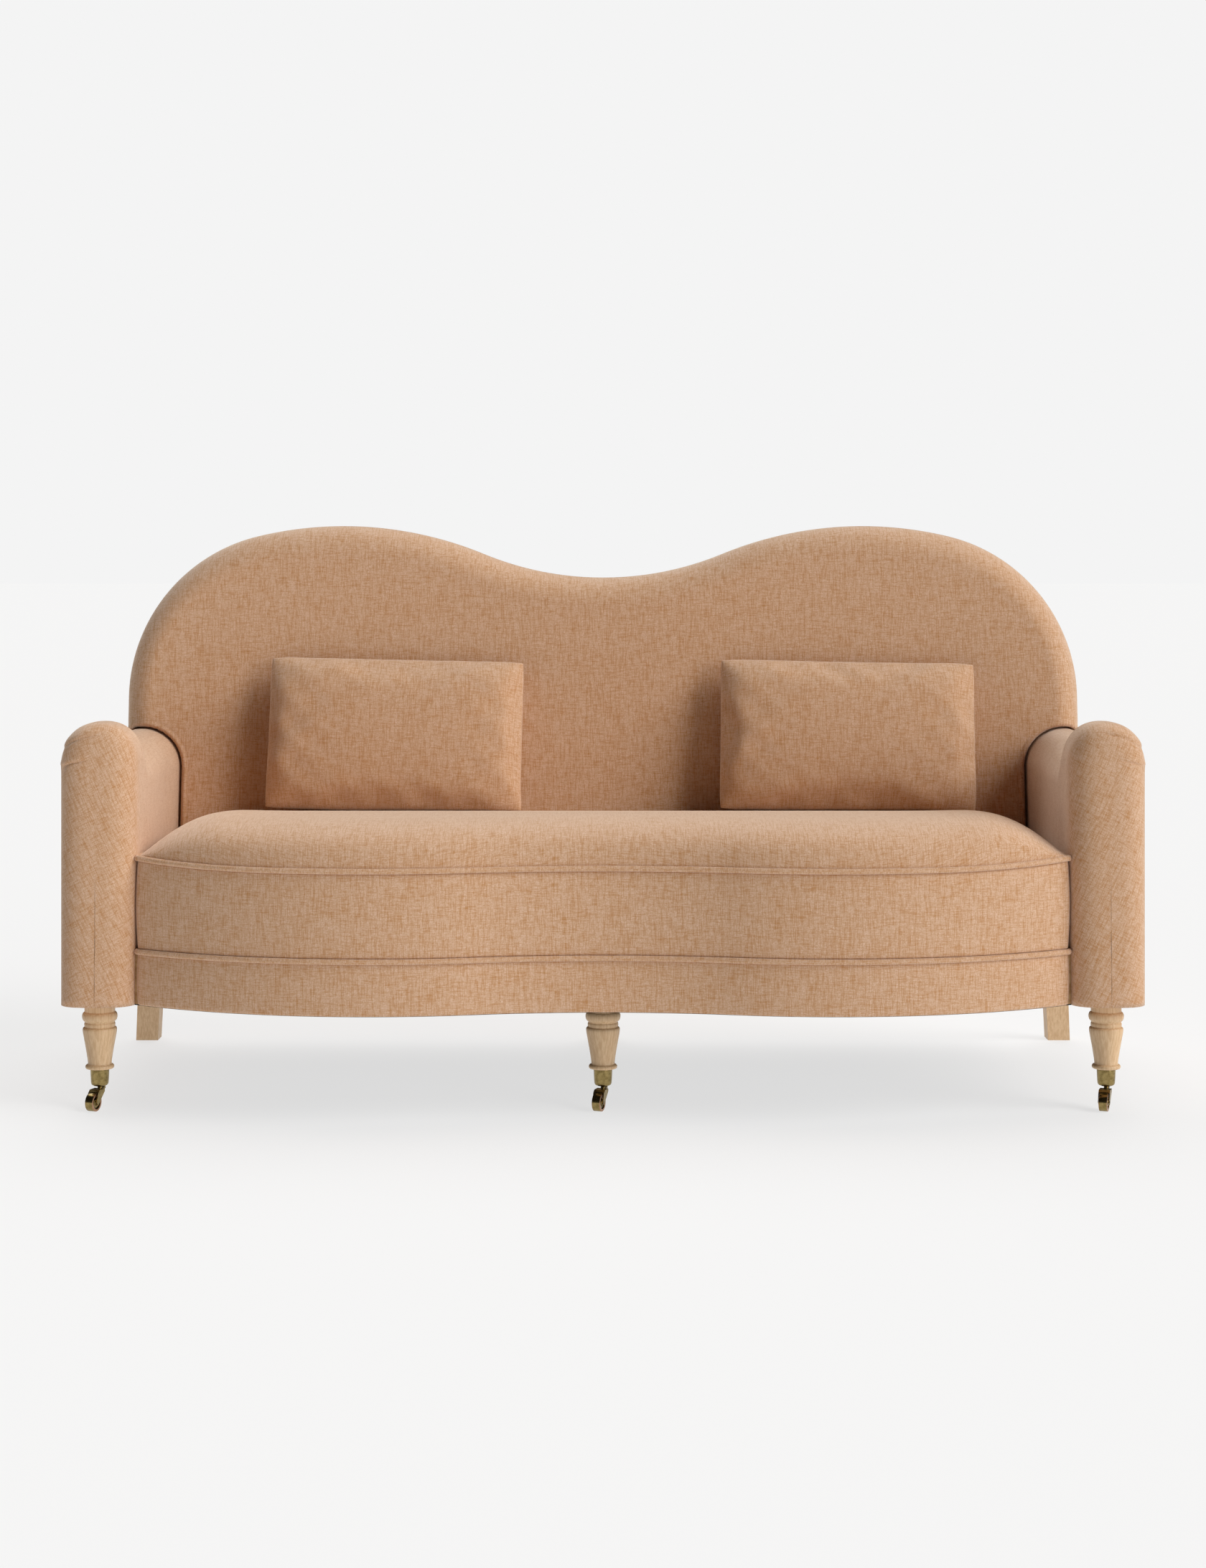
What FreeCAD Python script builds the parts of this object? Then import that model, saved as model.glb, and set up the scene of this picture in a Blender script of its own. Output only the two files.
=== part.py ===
import FreeCAD, Part
import math
import os
import re
import Sketcher
from types import SimpleNamespace
from FreeCAD import Placement, Rotation, Vector

os.makedirs("parts", exist_ok=True)
doc = FreeCAD.newDocument("sofa")

# Driving sizes in millimetres and degrees. X runs along the sofa, Y from front to back, Z up from
# the floor. "reach" is a distance from the middle plane, "front" and "rear" are places along Y.
SIZES = [
    ("overall_width", 1900), ("plinth_height", 188), ("fabric", 2.5), ("ease", 0.3),
    # Seat: a serpentine front with two bulges and a dip between them
    ("bulge_reach", 400), ("bulge_front", -461), ("bulge_radius", 740), ("wave_depth", 48),
    ("plan_reach", 870), ("plan_corner", 60), ("seat_reach", 838),
    ("band_reach", 813.5), ("welt_diameter", 10), ("apron_top", 282), ("seat_edge", 436),
    ("crown_rise", 81), ("crown_slope", 4), ("crown_pivot", -250),
    # Arms: a bulbous nose in front of a slimmer arm
    ("nose_width", 136), ("nose_front", -362), ("nose_top", 682), ("nose_crest", 885),
    ("nose_crown", 95), ("nose_shoulder", 46), ("nose_end", -262), ("bullnose", 45),
    ("arm_start", -206), ("arm_reach", 560),
    ("arm_width", 113), ("arm_top", 637), ("arm_crest", 912), ("arm_crown", 160),
    ("arm_outer_corner", 25), ("arm_inner_corner", 70),
    # Back: a camel outline on a raked slab
    ("hump_reach", 524), ("hump_top", 1041), ("hump_radius", 740), ("dip_top", 937),
    ("shoulder_radius", 330), ("back_front_low", 202.5), ("back_front_high", 327),
    ("back_rear_low", 398), ("back_rear_high", 470), ("back_edge_round", 55),
    ("back_edge_padding", 24), ("panel_margin", 16),
    # Hardwood frame
    ("rail_height", 90), ("rail_thickness", 32), ("side_rail_thickness", 36), ("rail_lift", 2),
    ("arm_line", 886), ("stump_side", 56), ("stump_height", 422), ("arm_rail_width", 46),
    ("arm_rail_thickness", 22), ("post_line", 896), ("post_width", 48), ("post_thickness", 45),
    ("post_height", 505), ("top_rail_depth", 60), ("top_rail_thickness", 30),
    ("mid_rail_height", 70), ("mid_rail_level", 265), ("centre_rail_width", 70),
    ("centre_rail_thickness", 34), ("corner_block_side", 70), ("corner_block_height", 60),
    # Webbing and linings
    ("strap_width", 50), ("strap_thickness", 1.8), ("strap_pitch", 145), ("strap_count", 11),
    ("cross_strap_pitch", 105), ("cross_strap_count", 5), ("lining", 1.2), ("dust_thickness", 1.6),
    # Front legs, turned
    ("front_leg_line", -297), ("leg_neck_radius", 26.7), ("leg_bead_radius", 30.5),
    ("leg_waist_radius", 26), ("leg_shoulder_radius", 29.8),
    ("leg_ankle_radius", 20.5), ("leg_foot_radius", 25),
    ("leg_bead_top", 172), ("leg_bead_bottom", 157), ("leg_waist_height", 146),
    ("leg_shoulder_height", 138), ("leg_ankle_height", 79),
    ("leg_foot_bottom", 69), ("leg_tenon_radius", 14.4), ("leg_tenon_bottom", 49.3),
    # Rear legs, square and raked
    ("rear_leg_top", 46), ("rear_leg_bottom", 44), ("rear_leg_head", 373),
    ("rear_leg_foot", 414), ("rear_leg_head_reach", 899), ("rear_leg_foot_reach", 914),
    # Casters: a cup on the leg, a swivelling horn and a wheel
    ("cup_radius", 16.5), ("cup_bore", 14.5), ("cup_base", 45),
    ("cup_bottom", 41), ("cup_floor", 49), ("cup_edge", 10.5), ("stem_radius", 4.4),
    ("stem_bottom", 37), ("pin_radius", 3), ("pin_bore", 3.05), ("pin_top", 48.5),
    ("wheel_radius", 16), ("wheel_width", 15), ("trail", 22), ("swivel_turn", 20),
    ("horn_top", 36.5), ("horn_gap", 0.6), ("horn_room", 1), ("horn_tail", 12), ("tail_rise", 3.5),
    ("tail_drop", 1.5), ("cheek_thickness", 2), ("cheek_radius", 5), ("axle_radius", 2),
    ("axle_bore", 2.05), ("axle_end", 0.4),
    # Loose lumbar pillows
    ("pillow_width", 500), ("pillow_height", 304), ("pillow_thickness", 118),
    ("pillow_hollow", 10), ("pillow_lean", 15), ("pillow_roll", 1.2),
    ("pillow_left", -405), ("pillow_right", 478),
]
sheet = doc.addObject("Spreadsheet::Sheet", "sizes")
for row, (name, value) in enumerate(SIZES, start=1):
    sheet.set(f"A{row}", name.replace("_", " "))
    sheet.set(f"B{row}", str(value))
    sheet.setAlias(f"B{row}", name)
doc.recompute()

S = SimpleNamespace(**{name: float(sheet.get(name)) for name, value in SIZES})
parts = []
HALF = S.overall_width / 2
SKIN = S.fabric + S.ease
RAIL_BOTTOM = S.plinth_height + S.rail_lift
RAIL_TOP = RAIL_BOTTOM + S.rail_height
DECK_TOP = RAIL_TOP + 2 * (S.strap_thickness + S.ease) + S.lining + S.ease
BELOW = S.plinth_height - 60


# Helpers

def bound(text):
    """A formula with each size's name turned into its cell in the sheet."""
    return re.sub(r"[a-z_]+", lambda m: "sizes." + m[0] if hasattr(S, m[0]) else m[0], text)


def number(formula):
    return float(sheet.evalExpression(bound(formula)))


def bind(thing, **formulas):
    """Tie properties to the sheet; a double underscore stands for a dot in a property's path."""
    for path, formula in formulas.items():
        thing.setExpression(path.replace("__", "."), bound(formula))
    return thing


def keep(thing, label):
    """Take an object as a finished piece of the sofa."""
    thing.Label = label
    parts.append(thing)
    return thing


def formed(label, shape):
    """A padded or shaped piece whose form comes straight from the sheet's values."""
    thing = doc.addObject("Part::Feature", label)
    thing.Shape = shape
    return keep(thing, label)


def board(name, corner, lengths):
    """A straight board: its lowest corner and its three lengths, as formulas."""
    thing = doc.addObject("Part::Box", name)
    bind(thing, Length=lengths[0], Width=lengths[1], Height=lengths[2])
    return bind(thing, Placement__Base__x=corner[0], Placement__Base__y=corner[1],
                Placement__Base__z=corner[2])


RAKE = "atan((back_rear_high - back_rear_low) / (hump_top - plinth_height))"


def raked_board(name, across, behind, level, lengths):
    """A board in the plane of the outside back; behind is negative towards the front."""
    thing = doc.addObject("Part::Box", name)
    bind(thing, Length=lengths[0], Width=lengths[1], Height=lengths[2])
    thing.Placement = Placement(Vector(0, 0, 0), Rotation(Vector(1, 0, 0), -1))
    bind(thing, Placement__Rotation__Angle="-" + RAKE, Placement__Base__x=across)
    return bind(
        thing,
        Placement__Base__y=f"back_rear_low + ({behind}) * cos({RAKE}) + ({level}) * sin({RAKE})",
        Placement__Base__z=f"plinth_height + ({level}) * cos({RAKE}) - ({behind}) * sin({RAKE})",
    )


def group(name, things):
    """Several like pieces kept as separate solids of one object."""
    thing = doc.addObject("Part::Compound", name)
    thing.Links = things
    return thing


def block(x0, x1, y0, y1, z0, z1):
    return Part.makeBox(x1 - x0, y1 - y0, z1 - z0, Vector(x0, y0, z0))


def grown(thing, gap):
    """The box around a board, larger all round by a gap."""
    b = thing.Shape.BoundBox
    return block(b.XMin - gap, b.XMax + gap, b.YMin - gap, b.YMax + gap, b.ZMin - gap, b.ZMax + gap)


def mirrored(shape):
    return shape.mirror(Vector(0, 0, 0), Vector(1, 0, 0))


def without(shape, *tools):
    for tool in tools:
        shape = shape.cut(tool)
    return shape


# Outlines of the back and of the seat

def arc(centre, radius, start, end):
    """An arc in the drawing plane about a centre, from one angle to another."""
    points = [Vector(centre[0] + radius * math.cos(a), centre[1] + radius * math.sin(a), 0)
              for a in (start, (start + end) / 2, end)]
    return Part.Arc(*points).toShape()


def wave(hump_x, hump_y, hump_radius, dip_y, half_width, corner_radius, inset):
    """The arcs on the right half of a wave: corner, hump and dip, drawn with the hump upwards.

    The hump and the dip keep their centres when the outline is inset. Each arc is its centre, its
    radius and its first and last angle, and runs into the next one without a corner.
    """
    base_y = hump_y - hump_radius
    rise = dip_y - base_y
    dip_radius = (hump_x ** 2 + rise ** 2 - hump_radius ** 2) / (2 * (hump_radius - rise))
    dip_centre = (0.0, dip_y + dip_radius)
    hump = hump_radius - inset
    corner_x = half_width - corner_radius
    corner_y = base_y + math.sqrt((hump - corner_radius) ** 2 - (corner_x - hump_x) ** 2)
    shoulder = math.atan2(corner_y - base_y, corner_x - hump_x)
    turn = math.atan2(dip_centre[1] - base_y, -hump_x)
    return [
        ((corner_x, corner_y), corner_radius, 0.0, shoulder),
        ((hump_x, base_y), hump, shoulder, turn),
        (dip_centre, dip_radius + inset, turn - math.pi, -turn),
    ]


def outline(arcs, half_width, base_y):
    """A closed outline: the wave, its mirror image, two side lines and a straight base."""
    edges = [arc(*piece) for piece in arcs]
    for (x, y), radius, start, end in reversed(arcs[:2]):
        edges.append(arc((-x, y), radius, math.pi - end, math.pi - start))
    spring = arcs[0][0][1]
    corners = [Vector(-half_width, spring, 0), Vector(-half_width, base_y, 0),
               Vector(half_width, base_y, 0), Vector(half_width, spring, 0)]
    edges += [Part.makeLine(a, b) for a, b in zip(corners, corners[1:])]
    return Part.Wire(edges)


def seat_arcs(inset, side_inset=0.0):
    return wave(S.bulge_reach, -S.bulge_front, S.bulge_radius, -S.bulge_front - S.wave_depth,
                S.plan_reach - inset - side_inset, max(S.plan_corner - inset, 1), inset)


def seat_plan(inset, rear, bottom):
    """The seat's plan with its serpentine front, as a face at a height."""
    face = Part.Face(outline(seat_arcs(inset), S.plan_reach - inset, -rear))
    face.rotate(Vector(0, 0, 0), Vector(1, 0, 0), 180)
    face.translate(Vector(0, 0, bottom))
    return face


def seat_slab(inset, reach, rear, bottom, top):
    """The room over the seat's plan between two heights, no wider than a reach to each side."""
    room = seat_plan(inset, rear, bottom).extrude(Vector(0, 0, top - bottom))
    return room.common(block(-reach, reach, -HALF, rear, bottom, top))


def seat_strip(outer, inner, reach, bottom, top):
    """A bent strip that follows the serpentine front between two insets."""
    return seat_slab(outer, reach, 0, bottom, top).cut(seat_slab(inner, reach, HALF, bottom, top))


# How far a camel outline's straight base lies below the plinth height
BASE = -40.0
BASE_DROP = -60.0


def camel_arcs(inset, lean):
    """The arcs of the back's camel outline, as long as the lean asks for."""
    stretch = 1 / math.cos(lean)
    return wave(S.hump_reach, (S.hump_top - S.plinth_height) * stretch, S.hump_radius,
                (S.dip_top - S.plinth_height) * stretch, HALF - inset, S.shoulder_radius - inset, inset)


def leaning(lean, low):
    """Where a camel outline goes: on the plinth height, leaning back by an angle."""
    return Placement(Vector(0, low, S.plinth_height), Rotation(Vector(1, 0, 0), 90 - math.degrees(lean)))


REAR_LEAN = math.atan2(S.back_rear_high - S.back_rear_low, S.hump_top - S.plinth_height)


def camel_slab(inset, front, rear, base=BASE):
    """A slab with the camel outline in the plane of the outside back, between two depths."""
    face = Part.Face(outline(camel_arcs(inset, REAR_LEAN), HALF - inset, base))
    face.Placement = leaning(REAR_LEAN, S.back_rear_low)
    normal = Vector(0, math.cos(REAR_LEAN), -math.sin(REAR_LEAN))
    face.translate(normal * front)
    return face.extrude(normal * (rear - front))


# Padded forms, with flat facets all round. Each takes a shrink, so that a cover, the foam in it and
# the room that its neighbours leave around it all come from one form

def faceted(rings):
    """A solid through rings of points, closed by its first and its last ring. The facets on the
    left are the mirror image of those on the right."""
    faces = [Part.Face(Part.makePolygon(ring + ring[:1])) for ring in (rings[0], rings[-1])]
    for low, high in zip(rings, rings[1:]):
        for i in range(len(low)):
            a, b, c, d = low[i - 1], low[i], high[i], high[i - 1]
            on_right = a.x + b.x > 0
            for three in ([a, b, c], [a, c, d]) if on_right else ([a, b, d], [b, c, d]):
                faces.append(Part.Face(Part.makePolygon(three + three[:1])))
    return Part.Solid(Part.Shell(faces)).removeSplitter()


def along(arcs):
    """Points along arcs that run on from each other. Each arc is its centre, its radius, its first
    and last angle, and the number of straight stretches that it gets."""
    points = []
    for (x, y), radius, start, end, count in arcs:
        for i in range(count):
            angle = start + (end - start) * i / count
            points.append(Vector(x + radius * math.cos(angle), y + radius * math.sin(angle), 0))
    return points


def ring(arcs, half_width, base_y, corner_count, place):
    """The points of a wave's outline, with its highest and lowest ones among them."""
    corner, (centre, radius, start, end), dip = arcs
    right = [corner + (corner_count,), (centre, radius, start, math.pi / 2, HUMP_COUNT),
             (centre, radius, math.pi / 2, end, HUMP_COUNT)]
    left = [((-x, y), radius, math.pi - end, math.pi - start, count)
            for (x, y), radius, start, end, count in reversed(right)]
    points = along(right + [dip + (2 * HUMP_COUNT,)] + left)
    spring = corner[0][1]
    points += [Vector(-half_width, spring, 0), Vector(-half_width, base_y, 0),
               Vector(half_width, base_y, 0)]
    return [place.multVec(point) for point in points]


# Straight stretches on each half of a hump, and on the corners beside the humps
HUMP_COUNT = 3
SHOULDER_COUNT = 5
CORNER_COUNT = 2

# Shares of the back's depth, each with the share of the edge's rounding that is drawn in there
BACK_SECTIONS = [(0.0, 1.0), (0.12, 0.36), (0.42, 0.0), (1.0, 0.2)]


def back_form(shrink):
    """The back: camel outlines from front to rear, drawn in at the rounded edges."""
    rings = []
    for share, draw in BACK_SECTIONS:
        depth_low = S.back_rear_low - S.back_front_low - 2 * shrink
        depth_high = S.back_rear_high - S.back_front_high - 2 * shrink
        low = S.back_front_low + shrink + share * depth_low
        high = S.back_front_high + shrink + share * depth_high
        lean = math.atan2(high - low, S.hump_top - S.plinth_height)
        inset = draw * S.back_edge_round + shrink
        rings.append(ring(camel_arcs(inset, lean), HALF - inset, BASE, SHOULDER_COUNT, leaning(lean, low)))
    return faceted(rings)


def arm_ring(y, draw, body, bottom):
    """One section across the left arm; body goes from 0 at the nose to 1 on the arm behind it."""
    def between(nose, arm):
        return nose + (arm - nose) * body
    outer = -HALF + draw
    inner = -HALF + between(S.nose_width, S.arm_width) - draw
    crest = -between(S.nose_crest, S.arm_crest)
    crown = between(S.nose_crown, S.arm_crown) - draw
    crown_z = between(S.nose_top - S.nose_crown, S.arm_top - S.arm_crown)
    r_outer = between(S.nose_shoulder, S.arm_outer_corner) - draw
    r_inner = between(S.nose_shoulder, S.arm_inner_corner) - draw
    x_outer = outer + r_outer
    x_inner = inner - r_inner
    z_outer = crown_z + math.sqrt((crown - r_outer) ** 2 - (x_outer - crest) ** 2)
    z_inner = crown_z + math.sqrt((crown - r_inner) ** 2 - (x_inner - crest) ** 2)
    a_outer = math.atan2(z_outer - crown_z, x_outer - crest)
    a_inner = math.atan2(z_inner - crown_z, x_inner - crest)
    points = along([
        ((x_outer, z_outer), r_outer, math.pi, a_outer, ARM_COUNT),
        ((crest, crown_z), crown, a_outer, math.pi / 2, ARM_COUNT),
        ((crest, crown_z), crown, math.pi / 2, a_inner, ARM_COUNT),
        ((x_inner, z_inner), r_inner, a_inner, 0.0, ARM_COUNT),
    ])
    points += [Vector(inner, z_inner, 0), Vector(inner, bottom, 0), Vector(outer, bottom, 0)]
    return [Vector(point.x, y, point.y) for point in points]


# Shares of the bullnose, from its flat front to where the nose is widest
NOSE_SECTIONS = [0.03, 0.22, 0.55, 1.0]
ARM_COUNT = 3


def arm_form(shrink):
    """The left arm: a bullnosed front, the nose, the slope behind it and the slimmer arm."""
    bottom = S.plinth_height if shrink == 0 else BELOW
    rings = []
    for share in NOSE_SECTIONS:
        draw = S.bullnose * (1 - math.sqrt(1 - (1 - share) ** 2))
        place = S.nose_front + shrink + S.bullnose * (share - NOSE_SECTIONS[0])
        rings.append(arm_ring(place, draw + shrink, 0, bottom))
    for place, body in ((S.nose_end, 0), (S.arm_start, 1), (S.arm_start + S.arm_reach, 1)):
        rings.append(arm_ring(place, shrink, body, bottom))
    return faceted(rings)


# Shares of the crown's rise, each with how far the front and the sides are drawn in there
CROWN_SECTIONS = [(0.0, 0, 0), (0.45, 10, 58), (0.85, 60, 62), (1.0, 150, 62)]


def crown_form(shrink, foot):
    """The seat's domed top on an upright foot: the serpentine plan drawn in as it rises, and
    falling to the back. It runs on through the back."""
    first = S.seat_edge + S.welt_diameter / 2 + S.ease - shrink
    last = S.seat_edge + S.crown_rise - shrink
    sections = [(foot, 0, 0, 0)]
    for share, draw, side_draw in CROWN_SECTIONS:
        sections.append((first + share * (last - first), draw, side_draw, S.crown_slope * share))
    rings = []
    for height, draw, side_draw, slope in sections:
        level = Placement(Vector(0, 0, height), Rotation(Vector(1, 0, 0), 180))
        pivot = Vector(0, S.crown_pivot, height)
        fall = Placement(Vector(0, 0, 0), Rotation(Vector(1, 0, 0), -slope), pivot)
        inset = draw + shrink
        rings.append(ring(seat_arcs(inset, side_draw), S.plan_reach - inset - side_draw, -HALF / 2,
                          CORNER_COUNT, fall.multiply(level)))
    return faceted(rings)


def pillow_ring(draw, height):
    """A pillow's outline: pointed corners, and sides that pull in to their middles."""
    half_width = S.pillow_width / 2 - draw
    half_height = S.pillow_height / 2 - draw
    hollow = S.pillow_hollow
    quarter = [(half_width, half_height), (0, half_height - hollow),
               (-half_width, half_height), (hollow - half_width, 0)]
    return [Vector(x, y, height) for x, y in quarter + [(-x, -y) for x, y in quarter]]


# Heights as shares of half the thickness, each with how far the outline is drawn in there
PILLOW_FACE = [(1.0, 110), (0.76, 55), (0.34, 15)]


def pillow_form(shrink):
    """A knife-edged pillow, thickest in the middle."""
    half = S.pillow_thickness / 2 - shrink
    sections = [(-share, draw) for share, draw in PILLOW_FACE] + [(0.0, 0.0)] + PILLOW_FACE[::-1]
    return faceted([pillow_ring(draw + shrink, share * half) for share, draw in sections])


# Turned work: half a section in a sketch, turned about its upright axis

def turned(name, steps):
    """Each step is a radius and a height, as formulas."""
    body = doc.addObject("PartDesign::Body", name)
    sketch = body.newObject("Sketcher::SketchObject", name + "_section")
    plane = [f for f in body.Origin.OriginFeatures if f.Role == "XZ_Plane"][0]
    sketch.AttachmentSupport = (plane, [""])
    sketch.MapMode = "FlatFace"
    points = [Vector(number(radius), number(height), 0) for radius, height in steps]
    lines = [sketch.addGeometry(Part.LineSegment(points[i - 1], points[i])) for i in range(len(points))]
    for i, step in enumerate(steps):
        following = lines[(i + 1) % len(lines)]
        sketch.addConstraint(Sketcher.Constraint("Coincident", lines[i], 2, following, 1))
        for kind, axis, formula in (("DistanceX", -2, step[0]), ("DistanceY", -1, step[1])):
            if number(formula) == 0:
                sketch.addConstraint(Sketcher.Constraint("PointOnObject", lines[i], 2, axis))
                continue
            index = sketch.addConstraint(Sketcher.Constraint(kind, -1, 1, lines[i], 2, number(formula)))
            sketch.setExpression(f"Constraints[{index}]", bound(formula))
    revolve = body.newObject("PartDesign::Revolution", name + "_turning")
    revolve.Profile = sketch
    revolve.ReferenceAxis = (sketch, ["V_Axis"])
    revolve.Angle = 360
    sketch.Visibility = False
    return body


SIDES = (("left", "-1"), ("right", "1"))

# Hardwood frame
rail_bottom = "plinth_height + rail_lift"
post_front = "back_rear_low - ease - post_thickness"
stump_inner = "(arm_line - stump_side / 2)"
post_inner = "(post_line - post_width / 2)"

front_rail = formed("front_rail", seat_strip(SKIN, SKIN + S.rail_thickness, number(stump_inner) - S.ease,
                                             RAIL_BOTTOM, RAIL_TOP))
keep(board("back_rail", (f"-{post_inner} + ease", post_front, rail_bottom),
           (f"2 * {post_inner} - 2 * ease", "post_thickness", "rail_height")), "back_rail")
arm_rails = []
back_posts = []
for side, sign in SIDES:
    keep(board(f"arm_stump_{side}",
               (f"{sign} * arm_line - stump_side / 2", "front_leg_line - stump_side / 2", rail_bottom),
               ("stump_side", "stump_side", "stump_height")),
         f"arm_stump_{side}")
    behind_stump = "front_leg_line + stump_side / 2 + ease"
    keep(board(f"side_rail_{side}",
               (f"{sign} * arm_line - side_rail_thickness / 2", behind_stump, rail_bottom),
               ("side_rail_thickness", f"{post_front} - ease - ({behind_stump})", "rail_height")),
         f"side_rail_{side}")
    post = raked_board(f"back_post_{side}", f"{sign} * post_line - post_width / 2",
                       "-ease - post_thickness", "rail_lift",
                       ("post_width", "post_thickness", "post_height"))
    back_posts.append(keep(post, f"back_post_{side}"))
    rail_end = f"{post_front} + (stump_height - arm_rail_thickness) * tan({RAKE}) - ease"
    rail = board(f"arm_rail_{side}",
                 (f"{sign} * arm_line - arm_rail_width / 2", behind_stump,
                  f"{rail_bottom} + stump_height - arm_rail_thickness"),
                 ("arm_rail_width", f"{rail_end} - ({behind_stump})", "arm_rail_thickness"))
    arm_rails.append(keep(rail, f"arm_rail_{side}"))

dip_inner_front = "bulge_front + wave_depth + fabric + ease + rail_thickness + ease"
keep(board("centre_rail", ("-centre_rail_width / 2", dip_inner_front, rail_bottom),
           ("centre_rail_width", f"{post_front} - ease - ({dip_inner_front})", "centre_rail_thickness")),
     "centre_rail")

keep(raked_board("back_mid_rail", f"-{post_inner} + ease", "-ease - post_thickness", "mid_rail_level",
                 (f"2 * {post_inner} - 2 * ease", "arm_rail_thickness", "mid_rail_height")),
     "back_mid_rail")
doc.recompute()

# The top rail follows the camel outline and stands on the two posts
frame_edge = SKIN + S.back_edge_padding + S.ease
top_rail_front = -S.ease - S.post_thickness
top_rail = camel_slab(frame_edge, top_rail_front, top_rail_front + S.top_rail_thickness)
top_rail = top_rail.cut(camel_slab(frame_edge + S.top_rail_depth, top_rail_front, 0, BASE_DROP))
post_top = max(post.Shape.BoundBox.ZMax for post in back_posts)
formed("back_top_rail", top_rail.cut(block(-HALF, HALF, -HALF, HALF, 0, post_top + S.ease)))

post_behind = "-ease - post_thickness + arm_rail_thickness + ease"
centre_post_foot = f"(rail_height + rail_lift) / cos({RAKE}) + ease"
centre_post_head = f"(dip_top - plinth_height) / cos({RAKE}) - {frame_edge} - top_rail_depth - 2 * ease"
keep(raked_board("back_centre_post", "-post_width / 2", post_behind, centre_post_foot,
                 ("post_width", "arm_rail_thickness", f"{centre_post_head} - ({centre_post_foot})")),
     "back_centre_post")

# Glued corner blocks behind the front rail and in front of the back posts
blocks = []
rail_room = seat_strip(0, SKIN + S.rail_thickness + S.ease, S.arm_line, RAIL_BOTTOM, RAIL_TOP)
for sign in (-1, 1):
    x = sign * (S.arm_line - S.side_rail_thickness / 2 - S.ease)
    for y, turn in ((S.front_leg_line + S.stump_side / 2 + S.ease, 1),
                    (number(post_front) - S.ease, -1)):
        corners = [Vector(x, y, 0), Vector(x - sign * S.corner_block_side, y, 0),
                   Vector(x, y + turn * S.corner_block_side, 0)]
        face = Part.Face(Part.makePolygon(corners + corners[:1]))
        face.translate(Vector(0, 0, RAIL_BOTTOM))
        wedge = face.extrude(Vector(0, 0, S.corner_block_height))
        blocks.append(wedge.cut(rail_room))
formed("corner_blocks", Part.makeCompound(blocks))

# Jute webbing: straps from front to back on the rails, and straps across on top of them
straps = []
rear_end = number(post_front) + S.post_thickness / 2
for i in range(int(S.strap_count)):
    x = (i - (S.strap_count - 1) / 2) * S.strap_pitch
    strap = block(x - S.strap_width / 2, x + S.strap_width / 2, S.bulge_front, rear_end,
                  RAIL_TOP, RAIL_TOP + S.strap_thickness)
    straps.append(strap.common(seat_slab(SKIN + S.rail_thickness / 4, S.seat_reach, rear_end,
                                         RAIL_TOP, RAIL_TOP + S.strap_thickness)))
formed("seat_webbing_front_to_back", Part.makeCompound(straps))
straps = []
level = RAIL_TOP + S.strap_thickness + S.ease
for i in range(int(S.cross_strap_count)):
    y = (i - (S.cross_strap_count - 1) / 2) * S.cross_strap_pitch
    straps.append(block(-S.arm_line, S.arm_line, y - S.strap_width / 2, y + S.strap_width / 2,
                        level, level + S.strap_thickness))
formed("seat_webbing_across", Part.makeCompound(straps))
straps = []
strap_rear = top_rail_front - S.ease
strap_field = camel_slab(frame_edge + S.top_rail_depth / 3, strap_rear - S.strap_thickness, strap_rear)
for i in range(int(S.strap_count)):
    x = (i - (S.strap_count - 1) / 2) * S.strap_pitch
    strap = block(x - S.strap_width / 2, x + S.strap_width / 2, 0, HALF,
                  RAIL_TOP + S.post_thickness, S.hump_top)
    straps.append(strap.common(strap_field))
formed("back_webbing", Part.makeCompound(straps))

# Room that the padding leaves for the frame
passage_reach = S.arm_line - S.stump_side / 2
passage = seat_slab(S.fabric, passage_reach, HALF / 2, BELOW, S.apron_top)
passage = passage.fuse(seat_slab(S.fabric, passage_reach, HALF / 2, S.apron_top, DECK_TOP))
arm_core_half = S.stump_side / 2 + S.ease
arm_core = block(-S.arm_line - arm_core_half, -S.arm_line + arm_core_half,
                 S.front_leg_line - arm_core_half, HALF, BELOW, RAIL_BOTTOM + S.stump_height + S.ease)
post_room = S.post_thickness + S.ease
back_core = camel_slab(SKIN + S.back_edge_padding, strap_rear - S.strap_thickness - S.ease, post_room,
                       BASE_DROP)
core_reach = S.arm_line + arm_core_half
under_back = block(-core_reach, core_reach, -HALF, HALF, BELOW, DECK_TOP)
below = block(-HALF, HALF, -HALF, HALF, 0, S.plinth_height)
below_rails = block(-HALF, HALF, -HALF, HALF, 0, RAIL_BOTTOM)
rail_holes = [grown(rail, S.ease) for rail in arm_rails]

# Back: foam over the frame, a cover drawn over the foam, and a panel that closes the rear
back_room = back_form(-S.ease)
back_foam = without(back_form(SKIN), back_core, under_back, below_rails, *rail_holes)
formed("back_foam", back_foam)
back_cover = without(back_form(0), back_form(S.fabric), back_core, under_back, below, *rail_holes)
formed("back_cover", back_cover)
formed("outside_back_panel", camel_slab(S.panel_margin, S.ease, S.ease + S.fabric).cut(below))

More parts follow.
